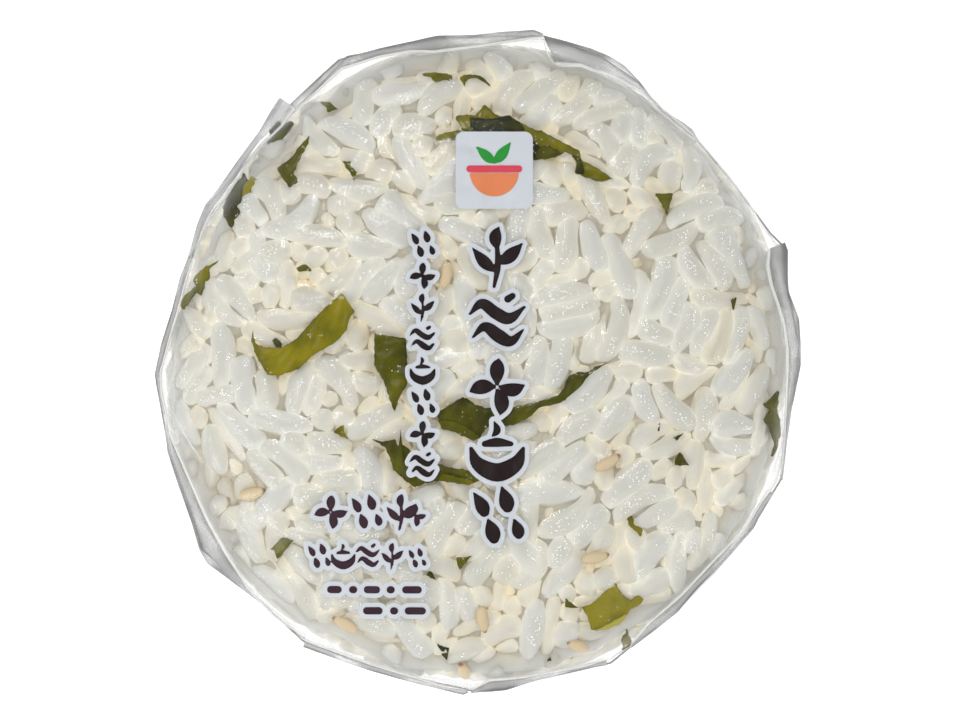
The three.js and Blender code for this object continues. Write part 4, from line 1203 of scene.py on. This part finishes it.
def start_group(name, inputs, outputs):
    """A shader node group with named inputs, each with its value, and named outputs, each of a kind."""
    group = bpy.data.node_groups.new(name, "ShaderNodeTree")
    for label, value in inputs.items():
        socket = group.interface.new_socket(label, in_out="INPUT", socket_type="NodeSocketFloat")
        socket.default_value = value
    for label, kind in outputs.items():
        group.interface.new_socket(label, in_out="OUTPUT", socket_type=kind)
    return group, group.nodes.new("NodeGroupInput").outputs, group.nodes.new("NodeGroupOutput").inputs


def build_relief_group():
    """Fine relief: noise on the piece's own coordinates, raised as a bump."""
    inputs = {"Scale": 1000.0, "Detail": 2.0, "Strength": 0.5, "Height": 0.0001}
    outputs = {"Normal": "NodeSocketVector", "Noise": "NodeSocketFloat"}
    group, given, end = start_group("fine_relief", inputs, outputs)
    place = node(group, "TexCoord").outputs["Object"]
    looks = {"Vector": place, "Scale": given["Scale"], "Detail": given["Detail"]}
    noise = node(group, "TexNoise", looks).outputs["Fac"]
    looks = {"Height": noise, "Strength": given["Strength"], "Distance": given["Height"]}
    feed(group, end["Normal"], node(group, "Bump", looks).outputs["Normal"])
    feed(group, end["Noise"], noise)


def build_glint_group():
    """Painted glints: white dots, the middles of some cells of a Voronoi pattern, of mixed size, gathered in
    patches.
    """
    inputs = {"Scale": 2600.0, "Patches": 420.0, "Bareness": 0.52, "Reach": 1.0}
    group, given, end = start_group("painted_wet_glints", inputs, {"Glints": "NodeSocketFloat"})
    place = node(group, "TexCoord").outputs["Object"]
    cells = node(group, "TexVoronoi", {"Vector": place, "Scale": given["Scale"]}).outputs
    size = node(group, "SeparateColor", {"Color": cells["Color"]}).outputs["Red"]
    spare = maths(group, "MULTIPLY_ADD", size, 0.45, maths(group, "MULTIPLY", cells["Distance"], -1.0))
    dots = ramp_range(group, spare, 0.0, 0.08, 0.0, 1.0)
    noise = node(group, "TexNoise", {"Vector": place, "Scale": given["Patches"]}).outputs["Fac"]
    gathered = ramp_range(group, maths(group, "SUBTRACT", noise, given["Bareness"]), 0.0, 0.05, 0.0, 1.0)
    both = maths(group, "MULTIPLY", dots, gathered)
    feed(group, end["Glints"], maths(group, "MULTIPLY", both, given["Reach"]))


def build_veil_group():
    """The film's veil: how much it covers, from nearly nothing face on to more at a slant."""
    inputs = {"Facing": 0.0, "Clear": 0.01, "Slanted": 0.4, "Power": 5.0}
    group, given, end = start_group("film_veil", inputs, {"Alpha": "NodeSocketFloat"})
    steep = maths(group, "POWER", given["Facing"], given["Power"])
    feed(group, end["Alpha"], ramp_range(group, steep, 0.0, 1.0, given["Clear"], given["Slanted"]))


def rice_material():
    """Cooked rice: milky and see-through, with a faint painted glow, painted warm shade where it lies low,
    and painted glints.
    """
    material, tree = start_material("cooked_rice")
    whiteness = mix(tree, attribute(tree, "tint"), srgb(206, 205, 196), srgb(207, 208, 204))
    toasted = ramp_range(tree, attribute(tree, "tan"), 0.95, 1.0, 0.0, 0.4)
    tanned = mix(tree, toasted, whiteness, srgb(219, 208, 170))
    # Painted shade: rice that lies low is warmer, and rice in deep gaps is warmer and darker still
    low = mix(tree, attribute(tree, "painted_low_shade"), tanned, srgb(219, 211, 190))
    deepest = mix(tree, attribute(tree, "painted_gap_shade"), low, srgb(208, 195, 170))
    # Painted glints: white dots along each grain's ridge where it lies against the film
    narrow = ramp_range(tree, attribute(tree, "ridge"), 0.25, 0.6, 0.0, 1.0)
    glint_reach = maths(tree, "MULTIPLY", attribute(tree, "crest"), narrow)
    glints = use_group(tree, "painted_wet_glints", Scale=4200.0, Patches=420.0, Bareness=0.46, Reach=glint_reach)["Glints"]
    # A painted glow: the rice gives off light of its own, a share of its colour, and white at the painted
    # glints
    inner = mix(tree, 1.0, deepest, (0.38, 0.38, 0.38, 1), "MULTIPLY")
    soft = use_group(tree, "fine_relief", Scale=900.0, Detail=2.0, Strength=0.5, Height=0.0001)
    return end_material(material, node(tree, "BsdfPrincipled", {
        "Base Color": mix(tree, glints, deepest, WHITE),
        "Roughness": 0.28,
        "Specular IOR Level": 0.32,
        "IOR": 1.4,
        "Emission Color": mix(tree, glints, inner, WHITE),
        "Emission Strength": 0.3,
        "Subsurface Weight": 1.0,
        "Subsurface Radius": (1.0, 0.95, 0.8),
        "Subsurface Scale": 0.0026,
        "Normal": soft["Normal"],
    }, subsurface_method="BURLEY"))


def wakame_material():
    """Wet seaweed: olive, yellower where thin, darker where layers overlap, with fine veins and painted
    glints.
    """
    material, tree = start_material("wet_wakame")
    mottle = use_group(tree, "fine_relief", Scale=320.0, Detail=5.0, Strength=0.5, Height=0.0002)
    shade = attribute(tree, "shade")
    darkness = maths(tree, "ADD", shade, ramp_range(tree, mottle["Noise"], 0.3, 0.7, -0.25, 0.25))
    olives = [(0.0, srgb(152, 141, 16)), (0.45, srgb(98, 97, 8)), (1.0, srgb(42, 44, 16))]
    pale = ramp_range(tree, shade, -0.5, 0.0, 1.0, 0.0)
    lighter = mix(tree, pale, ramp_along(tree, darkness, olives), srgb(188, 178, 74))
    rim = ramp_range(tree, attribute(tree, "edge"), 0.88, 1.0, 0.0, 0.3)
    edged = mix(tree, rim, lighter, srgb(70, 76, 16))
    # Painted glints: white dots on the seaweed
    glints = use_group(tree, "painted_wet_glints", Scale=2900.0, Patches=500.0, Bareness=0.6, Reach=0.8)["Glints"]
    return end_material(material, node(tree, "BsdfPrincipled", {
        "Base Color": mix(tree, glints, edged, srgb(235, 238, 220)),
        "Roughness": 0.32,
        "Specular IOR Level": 0.15,
        "Subsurface Weight": 0.1,
        "Subsurface Radius": (0.6, 0.7, 0.2),
        "Subsurface Scale": 0.0006,
        "Normal": mottle["Normal"],
    }))


def sesame_material():
    """Toasted sesame: pale tan with a brown tip at the pointed end."""
    material, tree = start_material("toasted_sesame")
    tans = [(0.86, srgb(234, 212, 172)), (0.97, srgb(150, 98, 66))]
    skin = use_group(tree, "fine_relief", Scale=1500.0, Detail=3.0, Strength=0.4, Height=0.0001)
    colour = ramp_along(tree, attribute(tree, "ahead"), tans)
    looks = {"Base Color": colour, "Roughness": 0.45, "Normal": skin["Normal"]}
    return end_material(material, node(tree, "BsdfPrincipled", looks))


def fold_looks(tree, facing, veil):
    """A fold's colour and cover: a painted highlight as a white line inside, painted shade beside it, a grey
    band, and a dark free edge of painted shade.

    It covers by the ramp along its width, unevenly, and less where it is seen face on.
    """
    out = attribute(tree, "out")
    greys = ramp_along(tree, out, [(place, film_grey(grey)) for place, grey, _ in FOLD_LOOKS])
    covers = ramp_along(tree, out, [(place, film_grey(cover)) for place, _, cover in FOLD_LOOKS])
    patches = use_group(tree, "fine_relief", Scale=140.0, Detail=2.0, Strength=0.0, Height=0.0001)
    thick = maths(tree, "MULTIPLY", covers, ramp_range(tree, patches["Noise"], 0.35, 0.65, 0.5, 1.4))
    slanted = maths(tree, "MULTIPLY", thick, ramp_range(tree, facing, 0.05, 0.2, 0.3, 1.0))
    return greys, maths(tree, "MAXIMUM", slanted, veil)


def film_material(name, grey, clear, slanted, power, ripple, looks=None):
    """Clear film: a grey veil that thickens at a slant, with a gloss that follows Fresnel.

    Ripple is the scale and height of its fine relief. Looks can turn the veil into a colour and cover of
    its own.
    """
    material, tree = start_material(name)
    facing = node(tree, "LayerWeight", {"Blend": 0.5}).outputs["Facing"]
    cover = use_group(tree, "film_veil", Facing=facing, Clear=clear, Slanted=slanted, Power=power)["Alpha"]
    colour, cover = looks(tree, facing, cover) if looks else (film_grey(grey), cover)
    veil = {"Base Color": colour, "Roughness": 0.3, "Specular IOR Level": 0.2, "Alpha": cover}
    relief = use_group(tree, "fine_relief", Scale=ripple[0], Detail=1.0, Strength=1.0, Height=ripple[1])
    gloss = node(tree, "BsdfGlossy", {"Roughness": 0.1, "Normal": relief["Normal"]})
    fresnel = node(tree, "Fresnel", {"IOR": 1.4}).outputs["Fac"]
    front = maths(tree, "SUBTRACT", 1.0, node(tree, "NewGeometry").outputs["Backfacing"])
    blend = node(tree, "MixShader", {"Fac": maths(tree, "MULTIPLY", fresnel, front)})
    feed(tree, blend.inputs[1], node(tree, "BsdfPrincipled", veil).outputs["BSDF"])
    feed(tree, blend.inputs[2], gloss.outputs["BSDF"])
    return end_material(material, blend)


def ink_material(name, colour):
    """Ink on film: one flat colour with a soft gloss."""
    material, tree = start_material(name)
    relief = use_group(tree, "fine_relief", Scale=700.0, Detail=1.0, Strength=0.3, Height=0.0001)
    looks = {"Base Color": colour, "Roughness": 0.5, "Specular IOR Level": 0.2, "Normal": relief["Normal"]}
    return end_material(material, node(tree, "BsdfPrincipled", looks))


def floor_material():
    """A light table: white, and a little lit from below."""
    material, tree = start_material("pale_floor")
    looks = {"Base Color": (0.7, 0.7, 0.7, 1), "Roughness": 0.9, "Specular IOR Level": 0.0}
    looks |= {"Emission Color": WHITE, "Emission Strength": 0.78}
    return end_material(material, node(tree, "BsdfPrincipled", looks))


def paint(piece, material, shadows=True):
    piece.data.materials.clear()
    piece.data.materials.append(material)
    piece.visible_shadow = shadows


# Studio

def build_floor():
    size = 1500.0
    corners = np.array([[-1, -1], [1, -1], [1, 1], [-1, 1]]) * size
    points = np.column_stack([corners, np.full(4, FLOOR_HEIGHT)])
    floor = new_mesh("floor", points, [np.array([[0, 1, 2, 3]])], body=None, smooth=False)
    paint(floor, floor_material())


def add_light(name, place, size, power):
    """A round soft light aimed at the ball."""
    light = bpy.data.lights.new(name, "AREA")
    light.shape = "DISK"
    light.size = size
    light.energy = power
    lamp = bpy.data.objects.new(name, light)
    lamp.location = place
    lamp.rotation_mode = "QUATERNION"
    lamp.rotation_quaternion = (Vector((0, 0, 0.02)) - Vector(place)).to_track_quat("-Z", "Y")
    bpy.context.scene.collection.objects.link(lamp)


def build_world():
    """A soft studio dome, brighter high up than at the horizon, with a dark gap straight overhead."""
    world = bpy.data.worlds.new("studio")
    bpy.context.scene.world = world
    world.use_nodes = True
    tree = world.node_tree
    place = node(tree, "TexCoord").outputs["Generated"]
    rise = node(tree, "SeparateXYZ", {"Vector": place}).outputs["Z"]
    levels = [(0.0, 0.32), (0.7, 0.55), (0.84, 0.55), (0.96, 0.12)]
    sky = ramp_along(tree, rise, [(height, (level, level, level, 1)) for height, level in levels])
    feed(tree, tree.nodes["Background"].inputs["Color"], sky)
    tree.nodes["Background"].inputs["Strength"].default_value = 1.0


def build_studio():
    scene = bpy.context.scene
    build_world()
    add_light("key", (-0.18, 0.32, 0.92), 0.2, 1.8)
    add_light("fill", (0.52, -0.34, 0.5), 0.5, 0.85)
    add_light("side", (-0.2, -0.14, 0.26), 0.16, 0.25)
    scene.view_settings.view_transform = "Standard"
    scene.cycles.max_bounces = 6
    scene.cycles.diffuse_bounces = 2
    scene.cycles.glossy_bounces = 2
    scene.cycles.transparent_max_bounces = 10
    scene.cycles.adaptive_threshold = 0.08
    scene.cycles.adaptive_min_samples = 16
    camera = bpy.data.cameras.new("camera")
    camera.lens = CAMERA_LENS
    camera.sensor_width = SENSOR_WIDTH
    camera_object = bpy.data.objects.new("camera", camera)
    height = WAIST_HEIGHT + VIEW_WIDTH * CAMERA_LENS / SENSOR_WIDTH
    camera_object.location = (VIEW_MIDDLE[0] * MM, VIEW_MIDDLE[1] * MM, height * MM)
    camera.clip_start = 0.01
    scene.collection.objects.link(camera_object)
    scene.camera = camera_object


build_relief_group()
build_glint_group()
build_veil_group()
grains = pack_grains()
rice = rice_material()
for piece in build_rice(grains):
    paint(piece, rice)
film_rest = film_at_rest(grains)
paint(build_core(film_rest), rice)
wakame = wakame_material()
for piece in build_leaves():
    paint(piece, wakame)
paint(build_seeds(), sesame_material())

film_points_grid, film_sag = film_grid(film_rest)
clear = film_material("clear_film", 0.76, 0.004, 0.6, 2.5, (2600.0, 0.00005))
paint(build_film(film_points_grid), clear, False)
folded = film_material("folded_film", 0.5, 0.1, 0.4, 2.0, (420.0, 0.00006), fold_looks)
for number, (fold_name, fold_edges) in enumerate(FOLDS.items()):
    arch = 0.9 if fold_name == "roll" else 0.15
    paint(build_fold(fold_name, fold_edges, arch, number * 1.7), folded, False)
# Creases and the folds' inner edges are painted near white: a painted highlight along each crease
painted_crease_highlights = film_material("crease_film_painted_highlight", 0.95, 0.6, 0.9, 2.0, (900.0, 0.0001))
inner_edges = [edges[1] for edges in FOLDS.values()]
paint(build_ribs("film_creases", inner_edges + CREASES, 0.26, 0.16, 0.0), painted_crease_highlights, False)
# A dark line round the film's outline: painted shade where the film's edge is seen edge-on
outline = [np.concatenate([CORNER_XY, CORNER_XY[:1]]) * 0.992]
dark = film_material("outline_film_painted_shade", 0.06, 0.45, 0.7, 2.0, (900.0, 0.0001))
paint(build_ribs("film_outline", outline, 0.24, 0.1, 2.0), dark, False)
build_prints(film_sag)
build_floor()
build_studio()
